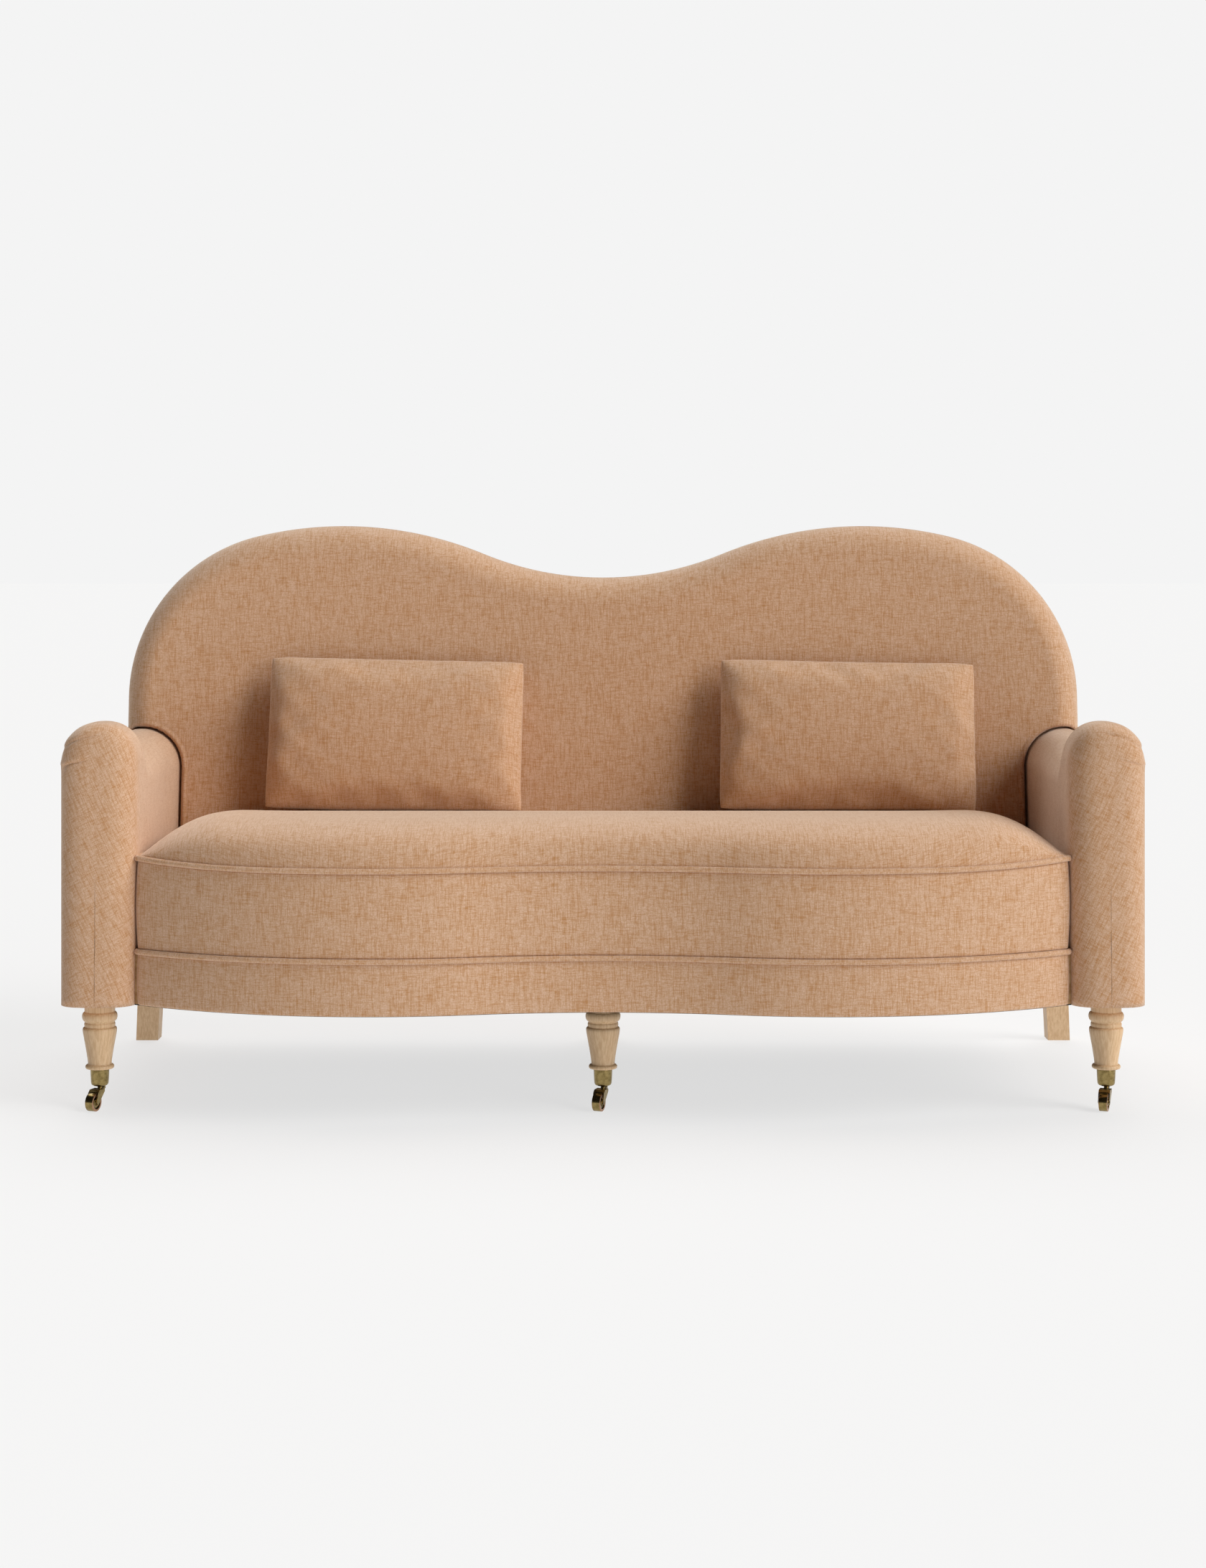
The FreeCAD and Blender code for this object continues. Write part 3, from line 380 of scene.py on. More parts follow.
def lay_straight(mesh, behind):
    """The weave lies straight on faces behind a place, and wherever it would be stretched."""
    cloth = mesh.uv_layers["cloth"].data
    for face in mesh.polygons:
        corners = [mesh.vertices[v].co for v in face.vertices]
        laid = [cloth[i].uv for i in face.loop_indices]
        pairs = [(i, i - 1) for i in range(len(corners))] + [(0, 2), (1, -1)]
        ratios = [((laid[a] - laid[b]).length + 2e-5) / ((corners[a] - corners[b]).length + 2e-5)
                  for a, b in pairs]
        if face.center.y >= behind or not all(0.78 < ratio < 1.28 for ratio in ratios):
            facing = max(range(3), key=lambda axis: abs(face.normal[axis]))
            first, second = ((1, 2), (0, 2), (0, 1))[facing]
            for i, corner in zip(face.loop_indices, corners):
                cloth[i].uv = corner[first], corner[second]


def outwards(mesh):
    """All faces of a mesh face out."""
    work = bmesh.new()
    work.from_mesh(mesh)
    bmesh.ops.recalc_face_normals(work, faces=work.faces[:])
    work.to_mesh(mesh)
    work.free()


def run_length(points):
    """Length along each row of a grid of points, from its first point."""
    steps = np.linalg.norm(np.diff(points, axis=1), axis=2)
    return np.concatenate([np.zeros((len(points), 1)), np.cumsum(steps, axis=1)], axis=1)


def front_strip(name, profile, nodes):
    """A closed profile of (distance behind the front, height) points run along the front."""
    places, facing = front_line()
    loop = np.array(profile + profile[:1])
    grid = np.empty((len(places), len(loop), 3))
    deepest = np.interp(np.abs(places[:, 0]), NARROWING, DEPTHS)
    for j, (behind, z) in enumerate(loop):
        grid[:, j, :2] = places - facing * np.minimum(behind, deepest)[:, None]
        grid[:, j, 2] = z + lift(places[:, 0], z)
    around = run_length(grid[:1])[0]
    along = run_length(np.pad(places, ((0, 0), (0, 1)))[None])[0]
    cloth = np.empty(grid.shape[:2] + (2,))
    cloth[..., 0] = (along - along[-1] / 2)[:, None]
    cloth[..., 1] = around[None, :] + loop[0, 1]
    patches = [(grid, cloth)]
    for end in (0, -1):
        middle = grid[end].mean(0)
        patches.append((np.stack([grid[end], np.tile(middle, (len(loop), 1))]),
                        np.stack([cloth[end], cloth[end]])))
    piece = welded(name, patches, "root", upholstery)
    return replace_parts(piece, *nodes)


def rounded(low, high, thick, bulge, turn_low, turn_high):
    """A band's section: a gently bulging face, with its two edges turned in by a radius."""
    outer = []
    for a in np.radians(np.linspace(-90, 0, 5)):
        outer.append((turn_low * (1 - math.cos(a)), low + turn_low * (1 + math.sin(a))))
    inner_low, inner_high = low + turn_low, high - turn_high
    for t in np.linspace(0, 1, 12)[1:-1]:
        outer.append((-bulge * math.sin(math.pi * t), inner_low + (inner_high - inner_low) * t))
    for a in np.radians(np.linspace(0, 90, 5)):
        outer.append((turn_high * (1 - math.cos(a)), high - turn_high * (1 - math.sin(a))))
    return outer + [(thick, high), (thick, low)]


SEAM = 0.004
apron = rounded(APRON_BOTTOM, LOWER_PIPING - SEAM, thick=0.026, bulge=0.0015, turn_low=0.005,
                turn_high=0.003)
boxing = rounded(LOWER_PIPING + SEAM, UPPER_PIPING - SEAM, thick=0.006, bulge=0.003,
                 turn_low=0.004, turn_high=0.004)
front_strip("apron_panel", apron, ["apron_band"])
front_strip("boxing_panel", boxing, ["boxing_band"])


# Two pipings: cords covered with the same fabric, sewn in above and below the boxing band. They
# stand a little proud of it, and follow it round the seat's front.
PIPING_RADIUS, PIPING_PROUD = 0.005, 0.0015


def piping(name, height, nodes):
    circle = [(-PIPING_PROUD - PIPING_RADIUS * math.cos(a), height + PIPING_RADIUS * math.sin(a))
              for a in np.linspace(0, 2 * math.pi, 17)[:-1]]
    return front_strip(name, circle, nodes)


piping("piping_lower", LOWER_PIPING, ["seat_welt_lower"])
piping("piping_upper", UPPER_PIPING, ["seat_welt_upper"])


# The seat: one block of foam with a domed top, covered in one piece of fabric. It is highest near
# its front, falls a little to the back, and rolls down to the arms on both sides.
SEAT_REACH, SEAT_REAR, SEAT_FOOT = 0.836, 0.2475, 0.287
CROWN_RISE, CROWN_FALL = 0.0755, 0.034
CROWN_HALF, FRONT_ROLL, SIDE_ROLL = 0.813, 0.150, 0.152
CREVICE, CREVICE_OVERLAP, CREVICE_WIDTH = 0.030, 0.004, 0.016
FALL_START, FALL_RUN, FALL_POWER = -0.2, 0.4, 1.15
ROLL_FULLNESS, REAR_ROLL, REAR_SINK = 0.36, 0.03, 0.012
PIPING_COVER = 0.003
CORNER_REACH, SIDE_SPACING = 0.8108, 1.33


def crown_front(x):
    """Where the crown starts: at the upper piping, and far behind the noses beside the arms."""
    x = np.abs(x)
    places, _ = front_line()
    turned = places[places[:, 0] >= TURN_START - 1e-9]
    reach = turned[:, 0].max()
    corner = np.interp(x, turned[:-4, 0], turned[:-4, 1])
    beyond = turned[-5, 1] + (x - reach) * 6
    return np.where(x < TURN_START, serpentine(x), np.where(x < reach, corner, beyond))


def crown_height(x, y):
    """The height of the seat's top over the upper piping's line."""
    inset = np.clip((y - crown_front(x)) / FRONT_ROLL, 0, 1)
    side = np.clip((CROWN_HALF - np.abs(x)) / SIDE_ROLL, 0, 1)
    rear = np.clip((SEAT_REAR - y) / REAR_ROLL, 0, 1)
    rise = CROWN_RISE - CROWN_FALL * np.clip((y - FALL_START) / FALL_RUN, 0, 1.2) ** FALL_POWER
    rise = rise * (1 - (1 - inset) ** 2) ** ROLL_FULLNESS * (1 - (1 - side) ** 2)
    between = np.clip((np.abs(x) - CROWN_HALF + CREVICE_OVERLAP) / CREVICE_WIDTH, 0, 1)
    return rise - REAR_SINK * (1 - rear) ** 2 - CREVICE * between * between * (3 - 2 * between)


def seat_grid(rows=90):
    inner = TURN_START * np.sin(np.linspace(0, 1, 100) * SIDE_SPACING) / math.sin(SIDE_SPACING)
    half = np.concatenate([inner, np.linspace(TURN_START, CORNER_REACH, 6)[1:],
                           np.linspace(CORNER_REACH, SEAT_REACH, 9)[1:]])
    x = np.concatenate([-half[:0:-1], half])
    t = np.linspace(0, 1, rows)
    t = t ** 2.2 * 0.75 + t * 0.25
    t[-1] = 1.0
    front = crown_front(x) + 0.0005
    y = front[:, None] + (SEAT_REAR - front)[:, None] * t[None, :]
    x = np.repeat(x[:, None], rows, 1)
    z = UPPER_PIPING + lift(x) + PIPING_COVER + crown_height(x, y)
    return np.stack([x, y, z], -1)


crown = seat_grid()
length = run_length(crown)
crown_cloth = np.stack([crown[..., 0] * 1.02, length - crown[:, :1, 1]], -1)
under = crown.copy()
under[..., 2] = SEAT_FOOT
under[..., 1] += 0.006 * (1 - np.linspace(0, 1, under.shape[1]))[None, :]


def border(grid):
    """The points round the edge of a grid, in order, with the first one again at the end."""
    return np.concatenate([grid[:-1, 0], grid[-1, :-1], grid[:0:-1, -1], grid[0, ::-1]])


wall = np.stack([border(crown), border(under)])
wall_cloth = np.stack([border(crown_cloth), border(crown_cloth) - (0, 0.15)])
seat = welded("seat_cushioning", [(crown, crown_cloth), (under, crown_cloth), (wall, wall_cloth)],
              "root", upholstery)
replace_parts(seat, "seat_cover", "seat_foam")


# The back: foam over a raked frame with a camel outline of two humps and a dip, covered in one
# piece. Its edge is round, and it is notched round the arms, where the cover rolls into the gap.
BACK_REACH, BACK_BOTTOM = 0.950, 0.188
CAMEL_HUMP_X, CAMEL_HUMP_TOP, CAMEL_HUMP_RADIUS, CAMEL_DIP_TOP = 0.524, 1.041, 0.740, 0.937
SHOULDER_X, SHOULDER_RADIUS = 0.620, 0.330
BACK_HEIGHT = CAMEL_HUMP_TOP - BACK_BOTTOM
EDGE_ROUND = 0.055
GAP, ROLL = 0.0045, 0.008
FRONT_FOOT, FRONT_HEAD, REAR_FOOT, REAR_HEAD = 0.2025, 0.327, 0.398, 0.470
ARM_LEVEL, ARM_SHARE = 0.70, 0.74


def camel(x, inset=0.0):
    """The height of the back's outline, drawn in by an inset."""
    x = np.abs(x)
    hump_z = CAMEL_HUMP_TOP - CAMEL_HUMP_RADIUS
    rise = CAMEL_DIP_TOP - hump_z
    dip_radius = (CAMEL_HUMP_X ** 2 + rise ** 2 - CAMEL_HUMP_RADIUS ** 2) / (
        2 * (CAMEL_HUMP_RADIUS - rise))
    dip_z = CAMEL_DIP_TOP + dip_radius
    along = math.sqrt((CAMEL_HUMP_RADIUS - SHOULDER_RADIUS) ** 2 - (SHOULDER_X - CAMEL_HUMP_X) ** 2)
    shoulder_z = hump_z + along
    low_turn = CAMEL_HUMP_X * (dip_radius + inset) / (dip_radius + CAMEL_HUMP_RADIUS)
    high_turn = CAMEL_HUMP_X + (CAMEL_HUMP_RADIUS - inset) * (SHOULDER_X - CAMEL_HUMP_X) / (
        CAMEL_HUMP_RADIUS - SHOULDER_RADIUS)
    dip = dip_z - np.sqrt(np.maximum((dip_radius + inset) ** 2 - x ** 2, 0))
    hump = hump_z + np.sqrt(
        np.maximum((CAMEL_HUMP_RADIUS - inset) ** 2 - (x - CAMEL_HUMP_X) ** 2, 0))
    shoulder = shoulder_z + np.sqrt(
        np.maximum((SHOULDER_RADIUS - inset) ** 2 - (x - SHOULDER_X) ** 2, 0))
    return np.where(x < low_turn, dip, np.where(x < high_turn, hump, shoulder))


def back_place(z, share):
    """Where along Y the back is at a height, from its front at 0 to its rear at 1."""
    up = (z - BACK_BOTTOM) / BACK_HEIGHT
    front = FRONT_FOOT + (FRONT_HEAD - FRONT_FOOT) * up
    rear = REAR_FOOT + (REAR_HEAD - REAR_FOOT) * up
    return front + (rear - front) * share


def polyline_distance(x, z, line):
    """Distance of each point to a line of points."""
    best = np.full(x.shape, 1e9)
    for (ax, az), (bx, bz) in zip(line[:-1], line[1:]):
        dx, dz = bx - ax, bz - az
        t = np.clip(((x - ax) * dx + (z - az) * dz) / (dx * dx + dz * dz + 1e-18), 0, 1)
        best = np.minimum(best, (x - ax - t * dx) ** 2 + (z - az - t * dz) ** 2)
    return np.sqrt(best)


# The arms' sections, which the back's notches follow as well: the nose in front, and the slimmer
# arm behind it, both as points from the outer foot over the top to the inner foot.
NOSE_HALF, NOSE_CREST, NOSE_SPRING, NOSE_POWER = 0.068, 0.682, 0.606, 2.25
ARM_INNER, ARM_TOP = 0.837, 0.637
SIDE_POINTS, TOP_POINTS = 36, 120


def turned_arc(cx, cz, radius, start, end, count):
    a = np.linspace(start, end, count)
    return np.stack([cx + radius * np.cos(a), cz + radius * np.sin(a)], -1)


def by_length(points, count):
    """The same line with its points spaced evenly."""
    length = run_length(points[None])[0]
    wanted = np.linspace(0, length[-1], count)
    return np.stack([np.interp(wanted, length, points[:, i]) for i in (0, 1)], -1)


def arm_section(draw=0.0, body=1.0, taper=1.0):
    """One section of the left arm drawn in by a distance; body 0 is the nose, 1 the arm. The inner
    face has a taper of its own."""
    half = NOSE_HALF - draw
    rise = (NOSE_CREST - NOSE_SPRING) * half / NOSE_HALF
    middle = -BACK_REACH + NOSE_HALF
    a = np.linspace(math.pi, 0, TOP_POINTS * 3)
    power = 2 / NOSE_POWER
    nose = by_length(np.stack([middle + half * np.sign(np.cos(a)) * np.abs(np.cos(a)) ** power,
                               NOSE_SPRING + rise * np.abs(np.sin(a)) ** power], -1), TOP_POINTS)
    crest_x, crest_r, outer_r, inner_r = -0.912, 0.160, 0.030, 0.075
    crest_z = ARM_TOP - crest_r
    ends = []
    for side, r in ((-BACK_REACH + outer_r, outer_r), (-ARM_INNER - inner_r, inner_r)):
        z = crest_z + math.sqrt((crest_r - r) ** 2 - (side - crest_x) ** 2)
        ends.append((side, z, r, math.atan2(z - crest_z, side - crest_x)))
    (ox, oz, o_r, oa), (ix, iz, i_r, ia) = ends
    arm = by_length(np.concatenate([turned_arc(ox, oz, o_r, math.pi, oa, 40),
                                    turned_arc(crest_x, crest_z, crest_r, oa, ia, 60),
                                    turned_arc(ix, iz, i_r, ia, 0, 60)]), TOP_POINTS)
    inner_share = np.clip((nose[:, 0] - middle) / (0.7 * half), 0, 1) ** 1.5
    share = np.stack([body + (taper - body) * inner_share, np.full(TOP_POINTS, body)], -1)
    top = nose + (arm - nose) * share
    foot = APRON_BOTTOM
    up = np.linspace(0, 1, SIDE_POINTS)[:-1, None]
    outer = np.array([[top[0, 0], foot]]) * (1 - up) + top[:1] * up
    inner = top[-1:] * (1 - up) + np.array([[top[-1, 0], foot]]) * up
    inner = np.concatenate([inner[1:], np.array([[top[-1, 0], foot]])])
    line = np.concatenate([outer, top, inner])
    # The inner face of the nose leans in a little towards its foot
    lean = np.clip((0.44 - line[:, 1]) / 0.25, 0, 1) * 0.003 * (1 - body)
    line[SIDE_POINTS + TOP_POINTS - 1:, 0] -= lean[SIDE_POINTS + TOP_POINTS - 1:]
    return line


arm_outline = arm_section()


def notch_distance(x, z):
    """Distance from the edge of the notch, less than 0 inside it; for the left side's x."""
    x = -np.abs(x)
    line = arm_outline[SIDE_POINTS - 1:]
    distance = polyline_distance(x, z, line)
    top = np.interp(x, arm_outline[SIDE_POINTS - 1:SIDE_POINTS + TOP_POINTS - 1, 0],
                    arm_outline[SIDE_POINTS - 1:SIDE_POINTS + TOP_POINTS - 1, 1])
    inside = (x < -ARM_INNER) & (z < top)
    return np.where(inside, -distance, distance) - GAP


def snapped(x, z, reach):
    """Grid points close to the notch's edge are moved onto it."""
    for _ in range(2):
        step = 1e-4
        d = notch_distance(x, z)
        gx = (notch_distance(x + step, z) - notch_distance(x - step, z)) / (2 * step)
        gz = (notch_distance(x, z + step) - notch_distance(x, z - step)) / (2 * step)
        near = (np.abs(d) < reach) & (np.abs(x) < BACK_REACH - 0.001)
        x = np.where(near, x - gx * d, x)
        z = np.where(near, z - gz * d, z)
    return x, z


def spread(stretches):
    """Places from one stretch of (start, end, step) to the next."""
    places = []
    for start, end, step in stretches:
        count = max(int(round((end - start) / step)), 1)
        places.extend(np.linspace(start, end, count + 1)[:-1])
    return np.array(places + [stretches[-1][1]])


half_columns = spread([(0, 0.80, 0.012), (0.80, 0.87, 0.0026), (0.87, 0.93, 0.004),
                       (0.93, 0.9455, 0.0016), (0.9455, 0.9494, 0.0005), (0.9494, 0.95, 0.0002)])
columns = np.concatenate([-half_columns[:0:-1], half_columns])
shares = spread([(0, 0.40, 0.05), (0.40, 0.74, 0.0045), (0.74, 0.92, 0.0085), (0.92, 0.985, 0.004),
                 (0.985, 0.997, 0.0012), (0.997, 1.0, 0.0004)])
outline_line = np.concatenate([[(-BACK_REACH, BACK_BOTTOM - 1)],
                               np.stack([columns, camel(columns)], -1),
                               [(BACK_REACH, BACK_BOTTOM - 1)]])


def back_front():
    """The front of the back as a grid, and where its points lie in the outline's plane."""
    x = np.repeat(columns[:, None], len(shares), 1)
    top = camel(columns)
    straight = BACK_BOTTOM + (ARM_LEVEL - BACK_BOTTOM) * shares / ARM_SHARE
    above = ARM_LEVEL + (top[:, None] - ARM_LEVEL) * (shares[None, :] - ARM_SHARE) / (1 - ARM_SHARE)
    z = np.where(shares[None, :] < ARM_SHARE, straight[None, :], above)
    x, z = snapped(x, z, 0.0014)
    edge = polyline_distance(x, z, outline_line)
    round_off = np.clip(1 - edge / EDGE_ROUND, 0, 1)
    depth = back_place(z, 1.0) - back_place(z, 0.0)
    y = back_place(z, 0.0) + 0.42 * depth * (1 - np.sqrt(1 - round_off ** 2))
    d = notch_distance(x, z)
    rolled = np.clip(1 - d / ROLL, 0, 1)
    y += ROLL * (1 - np.sqrt(np.maximum(1 - rolled ** 2, 0))) * (d > -1e-5)
    y += (0.0011 * np.exp(-((d - 0.0125) / 0.0022) ** 2)
          - 0.0009 * np.exp(-((d - 0.0075) / 0.003) ** 2))
    y = np.where(d < -1e-5, back_place(z, 0.505), y)
    return np.stack([x, y, z], -1)


front = back_front()
edge_line = border(front)
ring = [edge_line]
centre = np.array([0.0, 0.6])
tangent = np.gradient(edge_line[:, [0, 2]], axis=0)
inward = np.stack([-tangent[:, 1], tangent[:, 0]], -1)
inward /= np.linalg.norm(inward, axis=1, keepdims=True) + 1e-12
inward *= np.sign(np.sum(inward * (centre - edge_line[:, [0, 2]]), axis=1, keepdims=True))
flat_foot = edge_line[:, 2] < BACK_BOTTOM + 1e-4
inward[flat_foot] = 0
for share, draw in ((0.52, 0.0), (0.62, 0.0), (0.74, 0.001), (0.86, 0.0039), (0.94, 0.008),
                    (1.0, 0.0138)):
    level = edge_line.copy()
    level[:, [0, 2]] += inward * draw
    level[:, 0] = np.clip(level[:, 0], -BACK_REACH + draw, BACK_REACH - draw)
    level[:, 1] = back_place(level[:, 2], share)
    ring.append(level)
ring = np.stack(ring)
rear_columns, rear_rows = front.shape[:2]
rear = front.copy()
rear[..., 1] = back_place(rear[..., 2], 1.0)
last = ring[-1]
edges = [rear_columns - 1, rear_rows - 1, rear_columns - 1, rear_rows - 1]
rear[:-1, 0] = last[:edges[0]]
rear[-1, :-1] = last[edges[0]:edges[0] + edges[1]]
rear[:0:-1, -1] = last[edges[0] + edges[1]:2 * edges[0] + edges[1]]
rear[0, ::-1] = last[2 * edges[0] + edges[1]:]
inside = rear[1:-1, 1:-1]
inside[..., 0] = np.clip(inside[..., 0], -BACK_REACH + 0.014, BACK_REACH - 0.014)
inside[..., 2] = np.minimum(inside[..., 2], camel(inside[..., 0], 0.0141))


def flat_cloth(grid):
    return np.stack([grid[..., 0], grid[..., 2] + np.abs(grid[..., 1]) * 0.15], -1)


ring_cloth = flat_cloth(ring) + np.linspace(0, 0.12, len(ring))[:, None, None] * (0, 1)
back_patches = [(front, flat_cloth(front)), (ring, ring_cloth), (rear, flat_cloth(rear))]
back = welded("back_cushioning", back_patches, "root", upholstery)
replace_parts(back, "back_cover", "back_foam")


# The outside back: a flat panel of the same fabric that closes the rear. It is blind-stitched round
# its edge, where the stitches draw it in a little.
PANEL_MARGIN, PANEL_THICK, PANEL_GAP = 0.016, 0.0025, 0.0003


def outside_back():
    s = np.linspace(-1, 1, 161)
    x = (BACK_REACH - PANEL_MARGIN) * np.sin(s * math.pi / 2)
    t = 1 - (1 - np.linspace(0, 1, 60)) ** 1.6
    z = BACK_BOTTOM + (camel(x, PANEL_MARGIN)[:, None] - BACK_BOTTOM) * t[None, :]
    x = np.repeat(x[:, None], len(t), 1)
    line = np.concatenate([[(x[0, 0], 0)], np.stack([x[:, 0], z[:, -1]], -1), [(x[-1, 0], 0)]])
    edge = polyline_distance(x, z, line)
    puff = PANEL_THICK * np.sqrt(1 - np.clip(1 - edge / 0.006, 0, 1) ** 2)
    puff -= 0.0012 * np.exp(-((edge - 0.009) / 0.0016) ** 2)
    outer = np.stack([x, back_place(z, 1.0) + PANEL_GAP + puff, z], -1)
    inner = np.stack([x, back_place(z, 1.0) + PANEL_GAP, z], -1)
    outer[:, 0, 1] = inner[:, 0, 1]
    return outer, inner


panel = welded("outside_back_cover", [(side, flat_cloth(side)) for side in outside_back()], "root",
               upholstery)
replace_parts(panel, "outside_back_panel")


# The arms: foam round the stump and the rail, under one cover a side. The front is a full round
# nose; behind it the cover falls to the slimmer arm, which runs into the back's notch.
NOSE_FRONT, NOSE_DEPTH, NOSE_SQUARE = -0.362, 0.060, 2.8
NOSE_END, ARM_START, ARM_REAR = -0.268, -0.196, 0.16
WEAVE_TURN = 25
DARTS = (
    ((-0.9500, 0.622), (-0.9437, 0.638), (-0.930, 0.6475), (-0.907, 0.6565), (-0.875, 0.663)),
    ((-0.9502, 0.598), (-0.9470, 0.604), (-0.925, 0.6125), (-0.898, 0.617)),
)


def arm_rows():
    """Each row's draw, place, share of the body and taper, from the front's middle to the rear."""
    rows = []
    for t in np.linspace(1, 0, 58) ** 1.35:
        reach = 1 - (1 - t) ** NOSE_SQUARE
        place = NOSE_FRONT + NOSE_DEPTH * (1 - reach ** (1 / NOSE_SQUARE))
        rows.append((NOSE_HALF * t * 0.9999, place, 0.0, 0.0))
    for y in spread([(NOSE_FRONT + NOSE_DEPTH, NOSE_END, 0.004), (NOSE_END, ARM_START, 0.003),
                     (ARM_START, ARM_REAR, 0.02)])[1:]:
        share = np.clip((y - NOSE_END) / (ARM_START - NOSE_END), 0, 1)
        taper = np.clip((y - NOSE_END) / (ARM_REAR - NOSE_END), 0, 1)
        rows.append((0.0, y, share * share * (3 - 2 * share), taper * taper * (3 - 2 * taper)))
    return rows


def arm_grid():
    """The left arm's cover as rows of points, with the cloth's measures at each."""
    rows, cloth, wrap, before = [], [], 0.0, None
    middle = -BACK_REACH + NOSE_HALF
    for draw, y, body, taper in arm_rows():
        line = arm_section(draw, body, taper)
        half = max(NOSE_HALF - draw, 1e-6)
        if before is not None:
            wrap += math.hypot(half - before[0], y - before[1])
        before = (half, y)
        rows.append(np.stack([line[:, 0], np.full(len(line), y), line[:, 1]], -1))
        turn = np.clip((line[:, 0] - middle) / half, -1, 1)
        cloth.append(np.stack([turn * wrap, line[:, 1]], -1))
    for share in np.linspace(0.18, 1, 14):
        line = rows[-1][:, [0, 2]]
        y = ARM_REAR + (back_place(line[:, 1], 0.5) - ARM_REAR) * share
        turned = cloth[-1][:, 0]
        rows.append(np.stack([line[:, 0], y, line[:, 1]], -1))
        cloth.append(np.stack([turned + np.sign(turned) * 0.012, line[:, 1]], -1))
    return np.stack(rows), np.stack(cloth)


def dart_sink(points):
    """How far the darts pull the cover in, and how far the cloth stands up over them."""
    sink = np.zeros(points.shape[:2])
    front_part = np.clip((-0.262 - points[..., 1]) / 0.03, 0, 1)
    for dart in DARTS:
        smooth = np.array(dart)
        t = np.linspace(0, 1, len(dart))
        fine = np.linspace(0, 1, 40)
        smooth = np.stack([np.interp(fine, t, smooth[:, i]) for i in (0, 1)], -1)
        d = polyline_distance(points[..., 0], points[..., 2], smooth)
        over = points[..., 2] - np.interp(points[..., 0], smooth[:, 0], smooth[:, 1])
        end = np.clip((smooth[-1, 0] + 0.004 - points[..., 0]) / 0.02, 0, 1)
        sink += front_part * end * (0.0022 * np.exp(-(d / 0.0016) ** 2)
                                    - 0.0012 * np.exp(-((d - 0.006) / 0.005) ** 2) * (over > 0))
    return sink


def grid_normals(grid):
    down = np.gradient(grid, axis=0)
    across = np.gradient(grid, axis=1)
    normal = np.cross(across, down)
    return normal / (np.linalg.norm(normal, axis=2, keepdims=True) + 1e-12)


left_arm, left_cloth = arm_grid()
normals = grid_normals(left_arm)
middle_point = np.array([-BACK_REACH + NOSE_HALF, 0, 0.45])
outward = (left_arm - middle_point)[:, :, [0, 2]]
facing = np.sign(np.sum(normals[:, :, [0, 2]] * outward, axis=2, keepdims=True))
facing[facing == 0] = 1
normals = normals * facing
left_arm = left_arm - normals * dart_sink(left_arm)[..., None]


def arm_patches(mirror):
    side = -1 if mirror else 1
    grid = left_arm * (side, 1, 1)
    turn = math.radians(WEAVE_TURN) * side
    cloth = left_cloth * (side, 1)
    cloth = np.stack([cloth[..., 0] * math.cos(turn) + cloth[..., 1] * math.sin(turn),
                      -cloth[..., 0] * math.sin(turn) + cloth[..., 1] * math.cos(turn)], -1)
    across = np.linspace(0, 1, 14)[None, :, None]
    foot = grid[:, :1] * (1 - across) + grid[:, -1:] * across
    foot_cloth = cloth[:, :1] * (1 - across) + cloth[:, -1:] * across
    loop = np.concatenate([grid[-1], foot[-1, ::-1][1:-1], grid[-1, :1]])
    middle = loop.mean(0)
    middle[1] = back_place(middle[2], 0.5)
    shrink = np.linspace(1, 0, 5)[:, None, None]
    cap = middle + (loop - middle)[None] * shrink
    return [(grid, cloth), (foot, foot_cloth), (cap, np.repeat(loop[None, :, :2], 5, 0))]


for side in ("left", "right"):
    arm = welded(f"arm_cushioning_{side}", arm_patches(side == "right"), "root", upholstery,
                 straight_behind=NOSE_FRONT + NOSE_DEPTH)
    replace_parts(arm, f"arm_cover_{side}", f"arm_pad_{side}")


# Two loose lumbar pillows: soft filling in a knife-edged cover. Each cover is blown up from two
# pieces of cloth sewn round the edge, then it leans on the back and settles onto the seat.
PILLOW_HALF = (0.250, 0.152, 0.058)
PILLOW_LEAN, PILLOW_ROLL, PILLOW_DROP, PILLOW_CLEAR = 15, 1.2, 0.011, 0.0006
PILLOW_START, PILLOW_SLACK, PILLOW_EASING = 0.050, 0.012, 14


def pillow_cover(side, columns=73, rows=45):
    """The cover loosely filled, front and rear, with the soft waves that its filling makes."""
    w, h, _ = PILLOW_HALF
    u, v = np.meshgrid(np.linspace(-1, 1, columns), np.linspace(-1, 1, rows), indexing="ij")
    u, v = np.sin(u * 1.25) / math.sin(1.25), np.sin(v * 1.25) / math.sin(1.25)
    x = u * w * (1 + 0.026 * (1 - np.abs(v) ** 3))
    y = v * h * (1 + 0.072 * (1 - np.abs(u) ** 4))
    swell = (1 - np.abs(u) ** 2.6) ** 0.42 * (1 - np.abs(v) ** 2.4) ** 0.42
    near_edge = np.clip(np.maximum(np.abs(u), np.abs(v) * 0.96) * 1.6 - 0.6, 0, 1)
    wave = (np.sin(x * 75 + side * 1.7) * np.sin(y * 83 + 0.6 + side)
            + 0.7 * np.sin(x * 34 - y * 47 + side))
    cloth = np.stack([x, y], -1)
    front = np.stack([x, y, PILLOW_START * swell * (1 + 0.07 * wave * near_edge)], -1)
    rear = np.stack([x, y, -PILLOW_START * swell * (1 - 0.07 * wave * near_edge)], -1)
    return [(front, cloth), (rear, cloth + 3.1)]


def vertices(mesh):
    points = np.empty(len(mesh.vertices) * 3)
    mesh.vertices.foreach_get("co", points)
    return points.reshape(-1, 3)


def evaluated_mesh(piece):
    """A piece's mesh with its modifiers applied."""
    return bpy.data.meshes.new_from_object(
        piece.evaluated_get(bpy.context.evaluated_depsgraph_get()))


